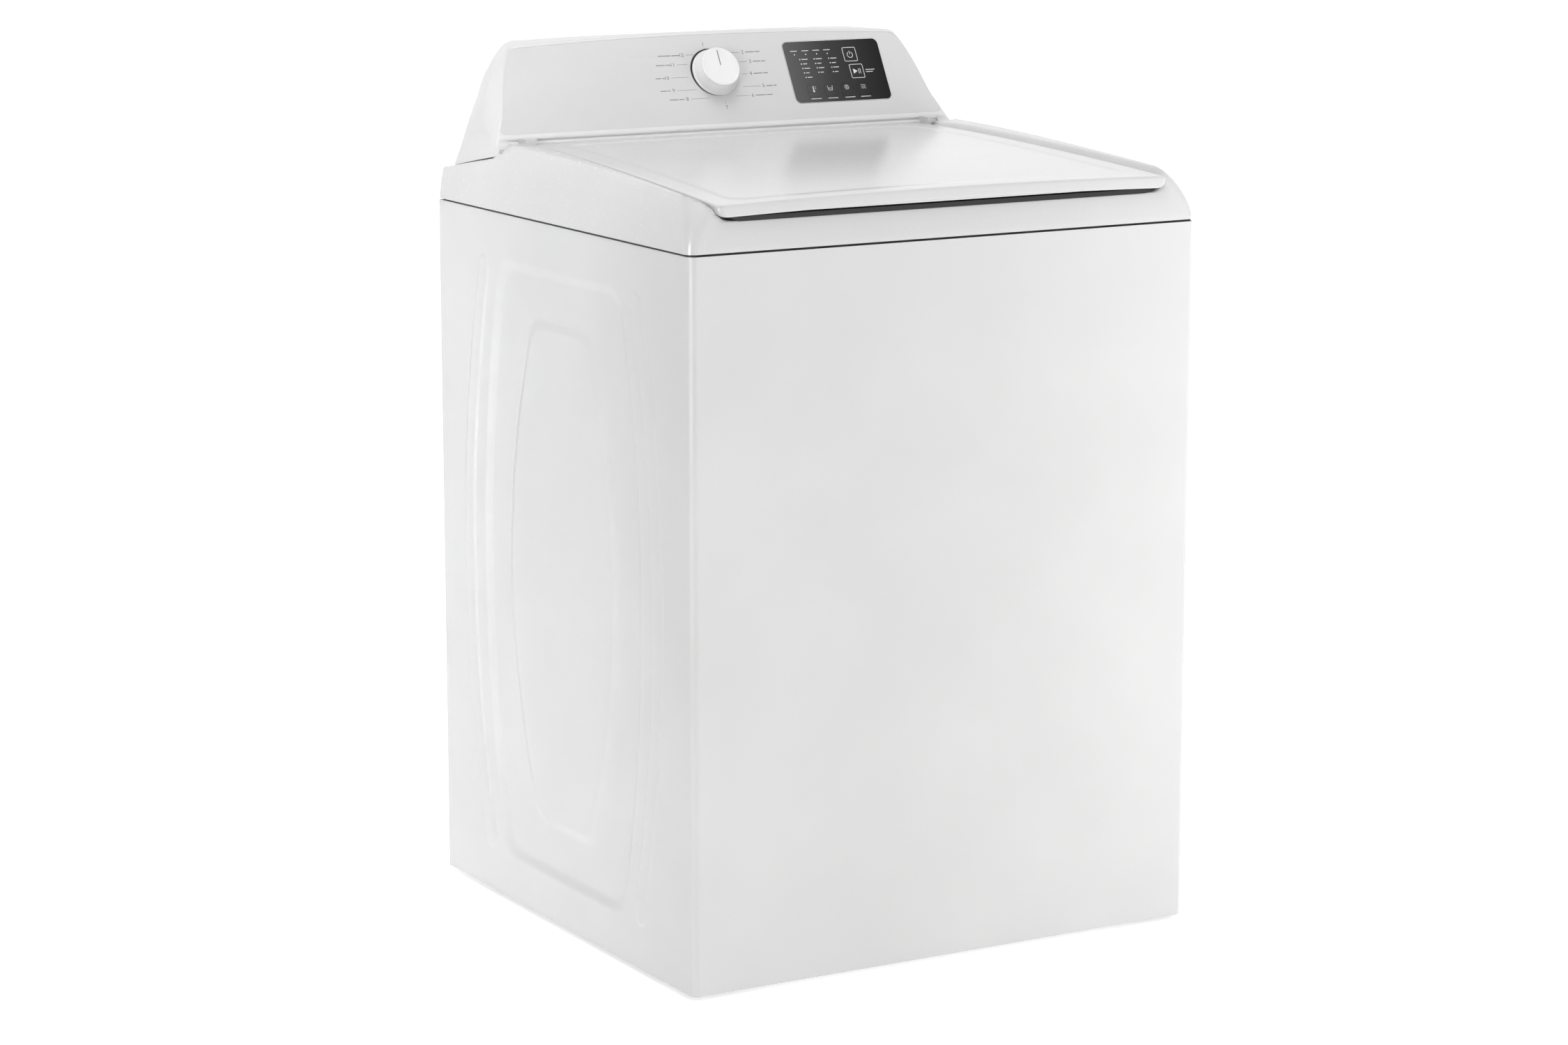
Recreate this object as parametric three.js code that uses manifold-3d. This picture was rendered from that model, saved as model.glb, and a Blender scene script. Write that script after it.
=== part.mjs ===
// Top load washing machine with a rear console, a hinged lid, an agitator and a hung wash unit.
// Millimetres, +Z up. The origin is on the floor under the middle of the cabinet.
// -Y is the front. +X is the right-hand side seen from the front.
import * as THREE from "three";
import { mergeVertices } from "three/addons/utils/BufferGeometryUtils.js";
import Module from "manifold-3d";

const wasm = await Module();
wasm.setup();

// Fit between neighbouring pieces.
const GAP = 0.4;

// Facets round turned pieces, by their size.
const WIDE_ROUND = 28;
const MID_ROUND = 20;
const SMALL_ROUND = 16;
const PIN_ROUND = 10;

// Cabinet. The side beads stand out of the sheet and give the overall width.
const HALF_WIDTH = 349.25;
const HALF_DEPTH = 330.65;
const BEAD_HEIGHT = 2;
const SHEET_X = HALF_WIDTH - BEAD_HEIGHT;
const SHEET = 3;
const CABINET_BOTTOM = 6;
const CABINET_TOP = 875;
const FRONT_CORNER_R = 10;
const REAR_CORNER_R = 3;
const REAR_FLANGE = 20;
const TOP_FLANGE = 16;
const RECESS_DEPTH = 1.8;
const SIDE_MID_Z = 440;

const REAR_PANEL_Y = HALF_DEPTH - SHEET - GAP;
const DRAIN_X = 150;
const DRAIN_Z = 775;

// Top panel.
const SEAM_Z = 877.5;
const TOP_WALL = 4;
const RIM_REAR_Y = 155;
const RIM_REAR_Z = 955;
const RIM_DROP = 21;
const RIM_RUN = 465;
const TOP_INSET = 1.5;
const RIM_LEAN = 24;
const TOP_REAR_Y = 325;
const SLOT_START_Y = 186;
const SLOT_START_Z = 941;
const SLOT_BEND_Y = 192;
const SLOT_BEND_Z = 937;
const SLOT_SLOPE = 0.173;
const SLOT_GAP = 1.5;
const OPENING_HALF_X = 222;
const OPENING_FRONT_Y = -262;
const OPENING_REAR_Y = 150;
const OPENING_R = 70;
const OPENING_SKIRT_Z = 886;

// Lid, in the pocket of the top panel. It narrows towards its hinge.
const LID_FRONT_Y = -327;
const LID_REAR_Y = 194;
const LID_FRONT_HALF = 308;
const LID_REAR_HALF = 281;
const LID_BELOW_RIM = 3;
const LID_THICK = 14;
const LID_CROWN = 4.5;
const LID_SKIN = 2.5;
const LID_TUCK = 8;
const LID_TO_POCKET = 2.5;
const POCKET_REAR_Y = 197;
const FINGER_GAP = 6;
const HINGE_Y = 189;
const HINGE_Z = 949;

// Console. Its face is a plane that leans back from a line above the lid's rear edge.
const FACE_Y = 198;
const FACE_Z = 952;
const FACE_RUN = 67;
const FACE_RISE = 120;
const FACE_TILT = Math.atan2(FACE_RISE, FACE_RUN);
const CONSOLE_TOP = 1068;
const CONSOLE_CROWN = 7.5;
const CONSOLE_WALL = 4;
const CONSOLE_REAR_Y = 330;

// Things on the console face: across, up the slope, and out of it.
const KNOB_S = 83.5;
const KNOB_SKIRT_R = 32;
const KNOB_CAP_R = 26;
const KNOB_OUT = 23;
const PANEL_X = 180;
const PANEL_S = 78.5;
const PANEL_W = 144;
const PANEL_H = 87;
const PANEL_R = 8;
const BIG_KEY = 21;
const SMALL_KEY = 17;
const KEY_THICK = 4;
const KEYS = [
  { name: "key_power", x: 205.6, s: 100.5, size: BIG_KEY },
  { name: "key_start", x: 209.8, s: 76.5, size: BIG_KEY },
  { name: "key_temperature", x: 138, s: 51, size: SMALL_KEY },
  { name: "key_water_level", x: 163, s: 51, size: SMALL_KEY },
  { name: "key_rinse", x: 188, s: 51, size: SMALL_KEY },
  { name: "key_soak", x: 213, s: 51, size: SMALL_KEY },
];

// Wash unit, hung in the cabinet on four rods.
const TUB_Y = -10;
const TUB_R = 292;
const TUB_WALL = 4;
const TUB_BOTTOM = 216;
const TUB_TOP = 832;
const BASKET_R = 262;
const BASKET_BOTTOM = 256;
const BASKET_TOP = 780;
const RING_TOP = 822;
const TUBE_R = 19;
const SHAFT_R = 9;
const ROD_X = 285;
const ROD_REACH = 267;
const ROD_R = 4;
const EAR_Z = 420;
const EAR_THICK = 6;
const SPRING_BOTTOM = 300;
const HANGER_Z = 855;

// Drive under the tub.
const BELT_Z = 85;
const BELT_HIGH = 12;
const BELT_THICK = 4;
const BELT_STANDOFF = 1.3;
const PULLEY_R = 95;
const MOTOR_PULLEY_R = 20;
const MOTOR_X = -150;

// Feet.
const FOOT_X = 300;
const FOOT_Y = 288;
const FOOT_R = 22;
const RAIL_Z = 20;

const WHITE = { color: 0xf3f3f1, roughness: 0.28, metalness: 0 };
const WHITE_PLASTIC = { color: 0xf0f0ee, roughness: 0.35, metalness: 0 };
const GREY_PLASTIC = { color: 0xb9bbbd, roughness: 0.5, metalness: 0 };
const DARK_PLASTIC = { color: 0x3c3d3f, roughness: 0.3, metalness: 0 };
const BLACK_PLASTIC = { color: 0x202122, roughness: 0.5, metalness: 0 };
const STEEL = { color: 0xc8cacc, roughness: 0.3, metalness: 1 };
const CAST = { color: 0x9a9c9e, roughness: 0.5, metalness: 0.9 };
const RUBBER = { color: 0x1b1b1b, roughness: 0.85, metalness: 0 };
const BOARD = { color: 0x2f5a3c, roughness: 0.6, metalness: 0 };

const machine = new THREE.Group();
const face = new THREE.Group();
face.position.set(0, FACE_Y, FACE_Z);
face.rotation.x = FACE_TILT;
machine.add(face);

// ---- Solids -----------------------------------------------------------------------------

// Turns a closed three.js geometry into a solid whose faces point out.
function solid(geometry) {
  geometry.deleteAttribute("normal");
  geometry.deleteAttribute("uv");
  const merged = mergeVertices(geometry, 1e-4);
  const points = merged.attributes.position.array;
  const corner = (i) => new THREE.Vector3().fromArray(points, 3 * i);
  const index = [];
  let volume = 0;
  for (let i = 0; i < merged.index.count; i += 3) {
    const [a, b, c] = [0, 1, 2].map((k) => merged.index.getX(i + k));
    if (a === b || b === c || c === a) continue;
    index.push([a, b, c]);
    volume += corner(a).dot(corner(b).cross(corner(c)));
  }
  const facing = volume < 0 ? index.map(([a, b, c]) => [a, c, b]) : index;
  const triVerts = new Uint32Array(facing.flat());
  return new wasm.Manifold(new wasm.Mesh({ numProp: 3, vertProperties: points, triVerts }));
}

function addNode(parent, name, body, look) {
  const data = body.getMesh();
  const geometry = new THREE.BufferGeometry();
  geometry.setAttribute("position", new THREE.BufferAttribute(data.vertProperties, 3));
  geometry.setIndex(new THREE.BufferAttribute(data.triVerts, 1));
  geometry.computeVertexNormals();
  const mesh = new THREE.Mesh(geometry, new THREE.MeshStandardMaterial(look));
  mesh.name = name;
  parent.add(mesh);
  return mesh;
}

function box(x0, x1, y0, y1, z0, z1) {
  const geometry = new THREE.BoxGeometry(x1 - x0, y1 - y0, z1 - z0);
  return solid(geometry.translate((x0 + x1) / 2, (y0 + y1) / 2, (z0 + z1) / 2));
}

function upright(radius, z0, z1, x = 0, y = 0, sides = SMALL_ROUND) {
  const geometry = new THREE.CylinderGeometry(radius, radius, z1 - z0, sides);
  return solid(geometry.rotateX(Math.PI / 2).translate(x, y, (z0 + z1) / 2));
}

// A cylinder along Y.
function lying(radius, y0, y1, x, z, sides = SMALL_ROUND) {
  const geometry = new THREE.CylinderGeometry(radius, radius, y1 - y0, sides);
  return solid(geometry.translate(x, (y0 + y1) / 2, z));
}

// A shape in plan, raised from z0 to z1.
function raised(shape, z0, z1, curveSegments = 4) {
  const geometry = new THREE.ExtrudeGeometry(shape, {
    depth: z1 - z0,
    bevelEnabled: false,
    curveSegments,
  });
  return solid(geometry.translate(0, 0, z0));
}

// A shape drawn in Y and Z, running from x0 to x1.
function across(shape, x0, x1, curveSegments = 4) {
  const depth = x1 - x0;
  const geometry = new THREE.ExtrudeGeometry(shape, { depth, bevelEnabled: false, curveSegments });
  geometry.applyMatrix4(new THREE.Matrix4().set(0, 0, 1, x0, 1, 0, 0, 0, 0, 1, 0, 0, 0, 0, 0, 1));
  return solid(geometry);
}

// A profile of [radius, height] points turned about the vertical, closed on itself or on the axis.
function turned(profile, segments = MID_ROUND) {
  const points = profile.map(([r, z]) => new THREE.Vector2(r, z));
  if (profile[0][0] > 0) points.push(points[0].clone());
  return solid(new THREE.LatheGeometry(points, segments).rotateX(Math.PI / 2));
}

// Joins rings of equal point counts, with a fan over each end ring.
function loft(rings) {
  const count = rings[0].length;
  const points = rings.flat();
  const index = [];
  for (let r = 0; r + 1 < rings.length; r++) {
    for (let i = 0; i < count; i++) {
      const a = r * count + i;
      const b = r * count + ((i + 1) % count);
      index.push(a, b, b + count, a, b + count, a + count);
    }
  }
  const last = (rings.length - 1) * count;
  for (const [start, turn] of [[0, 1], [last, -1]]) {
    const middle = new THREE.Vector3();
    for (let i = 0; i < count; i++) middle.addScaledVector(points[start + i], 1 / count);
    points.push(middle);
    for (let i = 0; i < count; i++) {
      const pair = [start + i, start + ((i + 1) % count)];
      index.push(points.length - 1, ...(turn > 0 ? pair.reverse() : pair));
    }
  }
  const geometry = new THREE.BufferGeometry().setFromPoints(points);
  geometry.setIndex(index);
  return solid(geometry);
}

function polygon(points) {
  return new THREE.Shape(points.map(([u, v]) => new THREE.Vector2(u, v)));
}

function roundedRect(u0, u1, v0, v1, r) {
  const shape = new THREE.Shape();
  shape.moveTo(u0 + r, v0);
  shape.lineTo(u1 - r, v0);
  shape.absarc(u1 - r, v0 + r, r, -Math.PI / 2, 0);
  shape.lineTo(u1, v1 - r);
  shape.absarc(u1 - r, v1 - r, r, 0, Math.PI / 2);
  shape.lineTo(u0 + r, v1);
  shape.absarc(u0 + r, v1 - r, r, Math.PI / 2, Math.PI);
  shape.lineTo(u0, v0 + r);
  shape.absarc(u0 + r, v0 + r, r, Math.PI, 1.5 * Math.PI);
  return shape;
}

// A smooth function through a few [position, value] points, in rising order of position.
function through(knots) {
  const slope = knots.map((knot, i) => {
    const before = knots[Math.max(0, i - 1)];
    const after = knots[Math.min(knots.length - 1, i + 1)];
    return (after[1] - before[1]) / (after[0] - before[0]);
  });
  return (at) => {
    let i = 0;
    while (i < knots.length - 2 && at > knots[i + 1][0]) i++;
    const [p, a] = knots[i];
    const [q, b] = knots[i + 1];
    const span = q - p;
    const t = THREE.MathUtils.clamp((at - p) / span, 0, 1);
    const bend = a + t * span * slope[i];
    const other = b - (1 - t) * span * slope[i + 1];
    const blend = t * t * (3 - 2 * t);
    return bend * (1 - blend) + other * blend;
  };
}

// A tube along a curve.
function tube(points, radius, steps, sides, curve = new THREE.CatmullRomCurve3(points)) {
  const section = new THREE.Shape();
  for (let i = 0; i < sides; i++) {
    const turn = (2 * Math.PI * i) / sides;
    const [u, v] = [radius * Math.cos(turn), radius * Math.sin(turn)];
    if (i === 0) section.moveTo(u, v);
    else section.lineTo(u, v);
  }
  return solid(new THREE.ExtrudeGeometry(section, { steps, extrudePath: curve }));
}

// ---- Cabinet ----------------------------------------------------------------------------

// A barrel outline on a side panel: straight ends and bowed edges.
function barrel(endHalf, midHalf, halfHeight, r) {
  const bow = 2 * midHalf - endHalf;
  const [low, high] = [SIDE_MID_Z - halfHeight, SIDE_MID_Z + halfHeight];
  const shape = new THREE.Shape();
  shape.moveTo(-endHalf + r, low);
  shape.lineTo(endHalf - r, low);
  shape.quadraticCurveTo(endHalf, low, endHalf + r / 8, low + r);
  shape.quadraticCurveTo(bow, SIDE_MID_Z, endHalf + r / 8, high - r);
  shape.quadraticCurveTo(endHalf, high, endHalf - r, high);
  shape.lineTo(-endHalf + r, high);
  shape.quadraticCurveTo(-endHalf, high, -endHalf - r / 8, high - r);
  shape.quadraticCurveTo(-bow, SIDE_MID_Z, -endHalf - r / 8, low + r);
  shape.quadraticCurveTo(-endHalf, low, -endHalf + r, low);
  return shape;
}

// A narrow bowed bead beside the barrel, at the front or the rear.
function bead(side) {
  const endY = 202;
  const midY = 250;
  const half = 15;
  const halfHeight = 378;
  const bow = 2 * midY - endY;
  const shape = new THREE.Shape();
  shape.moveTo(side * (endY - half), SIDE_MID_Z - halfHeight);
  shape.lineTo(side * (endY + half), SIDE_MID_Z - halfHeight);
  shape.quadraticCurveTo(
    side * (bow + half), SIDE_MID_Z, side * (endY + half), SIDE_MID_Z + halfHeight,
  );
  shape.lineTo(side * (endY - half), SIDE_MID_Z + halfHeight);
  shape.quadraticCurveTo(
    side * (bow - half), SIDE_MID_Z, side * (endY - half), SIDE_MID_Z - halfHeight,
  );
  return shape;
}

function cabinetPlan(inset) {
  const x = SHEET_X - inset;
  const y = HALF_DEPTH - inset;
  const front = FRONT_CORNER_R - inset;
  const rear = Math.max(REAR_CORNER_R - inset, 0.5);
  const shape = new THREE.Shape();
  shape.moveTo(-x + front, -y);
  shape.lineTo(x - front, -y);
  shape.absarc(x - front, -y + front, front, -Math.PI / 2, 0);
  shape.lineTo(x, y - rear);
  shape.lineTo(x - rear, y);
  shape.lineTo(-x + rear, y);
  shape.lineTo(-x, y - rear);
  shape.lineTo(-x, -y + front);
  shape.absarc(-x + front, -y + front, front, Math.PI, 1.5 * Math.PI);
  return shape;
}

// The triangular plate in each top corner that a suspension rod hangs from.
function hangerPlate(sideX, sideY) {
  const leg = 150;
  const x = SHEET_X - 1;
  const y = sideY < 0 ? HALF_DEPTH - 1 : REAR_PANEL_Y - 3;
  const shape = polygon([
    [sideX * x, sideY * y],
    [sideX * (x - leg), sideY * y],
    [sideX * x, sideY * (y - leg)],
  ]);
  const hole = upright(ROD_R + 3, HANGER_Z - 5, HANGER_Z + 10, sideX * ROD_X, rodY(sideY), PIN_ROUND);
  return raised(shape, HANGER_Z, HANGER_Z + SHEET).subtract(hole);
}

function rodY(sideY) {
  return TUB_Y + sideY * ROD_REACH;
}

function cabinetWrapper() {
  const top = CABINET_TOP;
  const inside = raised(cabinetPlan(SHEET), CABINET_BOTTOM - 1, top + 1);
  const rearX = SHEET_X - REAR_FLANGE;
  const rearCut = box(-rearX, rearX, HALF_DEPTH - 10, HALF_DEPTH + 10, 0, top + 1);
  let body = raised(cabinetPlan(0), CABINET_BOTTOM, top).subtract(inside).subtract(rearCut);
  const flangeY = -HALF_DEPTH + SHEET - 0.5;
  const flangeX = SHEET_X - FRONT_CORNER_R;
  body = body.add(box(-flangeX, flangeX, flangeY, flangeY + TOP_FLANGE, top - SHEET, top));
  for (const sideX of [-1, 1]) {
    for (const sideY of [-1, 1]) body = body.add(hangerPlate(sideX, sideY));
    body = body.subtract(sidePlate(barrel(158, 200, 373, 36), sideX, -RECESS_DEPTH, 1));
    body = body.add(sidePlate(barrel(80, 136, 309, 35), sideX, -RECESS_DEPTH - 0.5, 0));
    for (const sideY of [-1, 1]) {
      body = body.add(sidePlate(bead(sideY), sideX, -1, BEAD_HEIGHT));
    }
  }
  return body;
}

// A plate on the left (-1) or right (1) side sheet, between two distances out from the sheet.
function sidePlate(shape, sideX, inner, outer) {
  const [a, b] = [SHEET_X + inner, SHEET_X + outer];
  return sideX > 0 ? across(shape, a, b, 5) : across(shape, -b, -a, 5);
}

function rearPanel() {
  const x = SHEET_X - SHEET - 2;
  const sheet = 1.5;
  const rearY = REAR_PANEL_Y;
  let body = box(-x, x, rearY - sheet, rearY, CABINET_BOTTOM + 8, CABINET_TOP - 1);
  body = body.subtract(lying(14, rearY - 10, rearY + 10, DRAIN_X, DRAIN_Z));
  for (const z of [180, 640]) {
    for (let i = 0; i < 5; i++) {
      const slotX = -200 + 30 * i;
      body = body.subtract(box(slotX, slotX + 14, rearY - 9, rearY + 9, z, z + 60));
    }
  }
  return body;
}

// A channel across the bottom of the cabinet that the feet screw into.
function baseRail(sideY) {
  const x = SHEET_X - SHEET - 4;
  const [edge, reach] = [HALF_DEPTH - SHEET - 2.6, 70];
  const span = sideY < 0 ? [-edge, -edge + reach] : [edge - reach, edge];
  const inner = sideY < 0 ? [span[1] - SHEET, span[1]] : [span[0], span[0] + SHEET];
  let body = box(-x, x, ...span, RAIL_Z, RAIL_Z + SHEET);
  body = body.add(box(-x, x, ...inner, RAIL_Z + 1, RAIL_Z + 32));
  for (const sideX of [-1, 1]) {
    body = body.subtract(upright(7, RAIL_Z - 5, RAIL_Z + 9, sideX * FOOT_X, sideY * FOOT_Y, PIN_ROUND));
  }
  return body;
}

function levellingFoot() {
  const stemTop = 52;
  return turned([
    [0, 0], [FOOT_R - 2, 0], [FOOT_R, 2], [FOOT_R - 2, 7], [10, 10],
    [10, RAIL_Z - 1], [6, RAIL_Z - 1], [6, stemTop], [0, stemTop],
  ], SMALL_ROUND);
}

// ---- Top panel ---------------------------------------------------------------------------

// Height of the rim's crest, which runs down from the console to the front.
function rimZ(y) {
  const run = Math.max(0, (RIM_REAR_Y - y) / RIM_RUN);
  return RIM_REAR_Z - RIM_DROP * run ** 1.5;
}

// A rounded rectangle in plan with extra points along its sides, for a surface that dips.
function sidedOutline(halfX, frontY, rearY, r, sideSteps = 6, cornerSteps = 3) {
  const points = [];
  const corner = (x, y, from) => {
    for (let i = 0; i <= cornerSteps; i++) {
      const turn = from + ((Math.PI / 2) * i) / cornerSteps;
      points.push([x + r * Math.cos(turn), y + r * Math.sin(turn)]);
    }
  };
  const side = (x, y0, y1) => {
    for (let i = 1; i < sideSteps; i++) points.push([x, y0 + ((y1 - y0) * i) / sideSteps]);
  };
  corner(halfX - r, frontY + r, -Math.PI / 2);
  side(halfX, frontY + r, rearY - r);
  corner(halfX - r, rearY - r, 0);
  corner(-halfX + r, rearY - r, Math.PI / 2);
  side(-halfX, rearY - r, frontY + r);
  corner(-halfX + r, frontY + r, Math.PI);
  return points;
}

// The top's outside, or its inside when it is offset by the wall.
function topShell(offset) {
  const rings = [0, 0.35, 0.7, 0.93, 1].map((rise) => {
    const lean = RIM_LEAN * (0.45 * rise ** 1.4 + 0.55 * (1 - Math.sqrt(1 - rise * rise)));
    const inset = TOP_INSET + offset + lean;
    const corner = 9 + 0.6 * lean;
    const outline = sidedOutline(
      HALF_WIDTH - inset, -HALF_DEPTH + inset, TOP_REAR_Y - offset, corner,
    );
    return outline.map(([x, y]) => {
      const z = SEAM_Z + (rimZ(y) - SEAM_Z - offset) * rise;
      return new THREE.Vector3(x, y, rise === 0 && offset > 0 ? z - 5 : z);
    });
  });
  return loft(rings);
}

function lidHalf(y) {
  return THREE.MathUtils.mapLinear(y, LID_FRONT_Y, LID_REAR_Y, LID_FRONT_HALF, LID_REAR_HALF);
}

function lidTopZ(y) {
  return rimZ(y) - LID_BELOW_RIM;
}

function pocketFloorZ(y) {
  return lidTopZ(y) - LID_THICK - FINGER_GAP;
}

// The space that the lid lies in: open to the front, flaring out to the rim's crest.
function pocket(grow, floorDrop) {
  const rings = [];
  const steps = 6;
  const [frontY, rearY] = [-HALF_DEPTH - 20, POCKET_REAR_Y + grow];
  for (let i = 0; i <= steps; i++) {
    const y = frontY + ((rearY - frontY) * i) / steps;
    const half = lidHalf(y) + LID_TO_POCKET + grow;
    const floor = pocketFloorZ(y) - floorDrop;
    const lip = lidTopZ(y) - 3;
    const flare = [[half - LID_TUCK, floor], [half + 1, lip], [half + 5, lip + 4], [half + 16, lip + 9]];
    const right = [...flare, [half + 16, lip + 60]];
    const left = right.map(([x, z]) => [-x, z]).reverse();
    rings.push([...right, ...left].map(([x, z]) => new THREE.Vector3(x, y, z)));
  }
  return loft(rings);
}

function slotPolygon(gap) {
  const farY = 360;
  return [
    [SLOT_START_Y, SLOT_START_Z + gap],
    [SLOT_BEND_Y, SLOT_BEND_Z + gap],
    [farY, SLOT_BEND_Z - SLOT_SLOPE * (farY - SLOT_BEND_Y) + gap],
  ];
}

const LOCK_X = 225;
const LOCK_Y = -296;
const BLEACH = { x0: -215, x1: -120, y0: -311, y1: -270, deep: 34 };
const FILL_X = -180;
const FILL_Y = 285;
const BRACKET_X0 = 283.5;
const BRACKET_X1 = 298;

function topPanel() {
  const outside = topShell(0);
  let body = outside.subtract(topShell(TOP_WALL));
  body = body.add(pocket(TOP_WALL, TOP_WALL).intersect(outside));
  const skirt = 3;
  const opening = (grow) => roundedRect(
    -OPENING_HALF_X - grow, OPENING_HALF_X + grow,
    OPENING_FRONT_Y - grow, OPENING_REAR_Y + grow, OPENING_R + grow,
  );
  body = body.add(raised(opening(skirt), OPENING_SKIRT_Z, RIM_REAR_Z).intersect(outside));
  body = body.subtract(pocket(0, 0));
  body = body.subtract(raised(opening(0), SEAM_Z - 20, RIM_REAR_Z + 20));
  const above = across(polygon([...slotPolygon(0), [360, 1100], [SLOT_START_Y, 1100]]), -400, 400);
  const deckFront = box(-400, 400, SLOT_START_Y - 5, POCKET_REAR_Y, SEAM_Z, RIM_REAR_Z);
  const rearDeck = across(
    polygon([...slotPolygon(0), ...slotPolygon(-TOP_WALL).reverse()]), -330, 330,
  ).subtract(deckFront);
  body = body.subtract(above).add(rearDeck.intersect(outside));
  const b = BLEACH;
  body = body.subtract(box(b.x0, b.x1, b.y0, b.y1, SEAM_Z - 5, RIM_REAR_Z));
  body = body.subtract(box(LOCK_X - 12, LOCK_X + 12, LOCK_Y - 12, LOCK_Y + 12, 890, RIM_REAR_Z));
  body = body.subtract(upright(17, SEAM_Z, RIM_REAR_Z, FILL_X, FILL_Y));
  for (const side of [-1, 1]) {
    const [a, c] = [side * (BRACKET_X0 - GAP), side * (BRACKET_X1 + GAP)].sort((p, q) => p - q);
    body = body.subtract(box(a, c, HINGE_Y - 10, HINGE_Y + 14, HINGE_Z - 18, RIM_REAR_Z + 5));
  }
  return largest(body);
}

// Keeps the main body where a cut has left crumbs.
function largest(body) {
  return body.decompose().sort((a, b) => b.volume() - a.volume())[0];
}

function hingeBracket(side) {
  const [a, b] = [side * BRACKET_X0, side * BRACKET_X1].sort((p, q) => p - q);
  const top = HINGE_Z + 3;
  const body = box(a, b, HINGE_Y - 9, HINGE_Y + 6, HINGE_Z - 17, top);
  return body.subtract(pinBore(side, 3.3));
}

// A round bar along X at the lid's hinge line.
function pinBore(side, radius, from = LID_REAR_HALF - 8, to = BRACKET_X1 - 3) {
  const geometry = new THREE.CylinderGeometry(radius, radius, to - from, PIN_ROUND);
  geometry.rotateZ(Math.PI / 2).translate((side * (from + to)) / 2, HINGE_Y, HINGE_Z);
  return solid(geometry);
}

function bleachDispenser() {
  const b = BLEACH;
  const floor = pocketFloorZ(b.y1);
  const fit = 0.6;
  const cup = (inset, z0, z1) => raised(
    roundedRect(b.x0 + inset, b.x1 - inset, b.y0 + inset, b.y1 - inset, 9), z0, z1,
  );
  const rim = raised(
    roundedRect(b.x0 - 3, b.x1 + 3, b.y0 - 3, b.y1 + 3, 9), floor + GAP, floor + 2,
  );
  const outer = cup(fit, floor - b.deep, floor + 2).add(rim);
  return outer.subtract(cup(fit + 2.5, floor - b.deep + 2.5, floor + 9));
}

function lidLock() {
  const top = pocketFloorZ(LOCK_Y - 20) - TOP_WALL - 1;
  const body = box(LOCK_X - 32, LOCK_X + 32, LOCK_Y - 19, LOCK_Y + 17, top - 22, top);
  return body.subtract(box(LOCK_X - 9, LOCK_X + 9, LOCK_Y - 9, LOCK_Y + 9, top - 16, top + 5));
}

// ---- Lid ---------------------------------------------------------------------------------

// The lid's outside, or its inside when it is offset by the skin.
function lidShell(offset, below) {
  const rings = [];
  const steps = 6;
  const columns = 4;
  const [frontY, rearY] = [LID_FRONT_Y + offset, LID_REAR_Y - offset];
  for (let i = 0; i <= steps; i++) {
    const y = frontY + ((rearY - frontY) * i) / steps;
    const half = lidHalf(y) - offset;
    const front = (rearY - y) / (rearY - frontY);
    const top = [];
    for (let c = 0; c <= columns; c++) {
      const t = (2 * c) / columns - 1;
      const crown = LID_CROWN * (0.25 + 0.75 * front) * (1 - t * t);
      top.push([half * t, lidTopZ(y) + crown - offset]);
    }
    const low = lidTopZ(y) - LID_THICK - below;
    const edge = 3;
    top[0][1] -= edge;
    top[columns][1] -= edge;
    top.splice(1, 0, [-half + edge, lidTopZ(y) - offset]);
    top.splice(columns + 1, 0, [half - edge, lidTopZ(y) - offset]);
    const foot = half - LID_TUCK;
    const ring = [[-foot, low], ...top, [foot, low]];
    rings.push(ring.map(([x, z]) => new THREE.Vector3(x, y, z)));
  }
  return loft(rings);
}

function lidOuter() {
  let body = lidShell(0, 0).subtract(lidShell(LID_SKIN, 10));
  for (const side of [-1, 1]) {
    const [a, b] = [side * (LID_REAR_HALF - 4), side * (LID_REAR_HALF - 12)].sort((p, q) => p - q);
    const boss = box(a, b, HINGE_Y - 6, LID_REAR_Y - 0.5, HINGE_Z - 9, HINGE_Z + 1);
    body = body.add(boss).add(pinBore(side, 2.6));
  }
  return body;
}

function lidInner() {
  const inside = lidShell(LID_SKIN + GAP, 0.1 - LID_SKIN);
  const rim = 22;
  const thick = 2;
  const shell = inside.subtract(inside.translate([0, 0, thick]));
  const dish = raised(
    roundedRect(-OPENING_HALF_X, OPENING_HALF_X, OPENING_FRONT_Y + rim, OPENING_REAR_Y - 5, 50),
    OPENING_SKIRT_Z, RIM_REAR_Z + 20,
  );
  const raisedDish = inside.translate([0, 0, -LID_THICK + 8]).intersect(dish);
  const floorOnly = shell.intersect(inside.translate([0, 0, -LID_THICK + 6]));
  const hollow = raisedDish.translate([0, 0, thick]).intersect(dish.scale([0.98, 0.98, 1]));
  let body = largest(floorOnly.add(raisedDish).subtract(hollow));
  for (const side of [-1, 1]) {
    const [a, b] = [side * (LID_REAR_HALF + 5), side * (LID_REAR_HALF - 14)].sort((p, q) => p - q);
    body = body.subtract(box(a, b, HINGE_Y - 8, LID_REAR_Y + 5, 900, 1000));
  }
  return largest(body);
}

// The catch that drops into the lid lock.
function lidStrike() {
  const low = lidTopZ(LOCK_Y) - LID_THICK;
  const plate = box(LOCK_X - 14, LOCK_X + 14, LOCK_Y - 10, LOCK_Y + 10, low - 1.6, low - GAP);
  return plate.add(box(LOCK_X - 5, LOCK_X + 5, LOCK_Y - 4, LOCK_Y + 4, low - 24, low - 1));
}

function lidBumper(side) {
  const y = -296;
  const x = side * 278;
  const low = pocketFloorZ(y) + 0.5;
  const high = lidTopZ(y) - LID_THICK - GAP;
  return upright(8, low, high, x, y, PIN_ROUND);
}

// ---- Console -----------------------------------------------------------------------------

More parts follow.
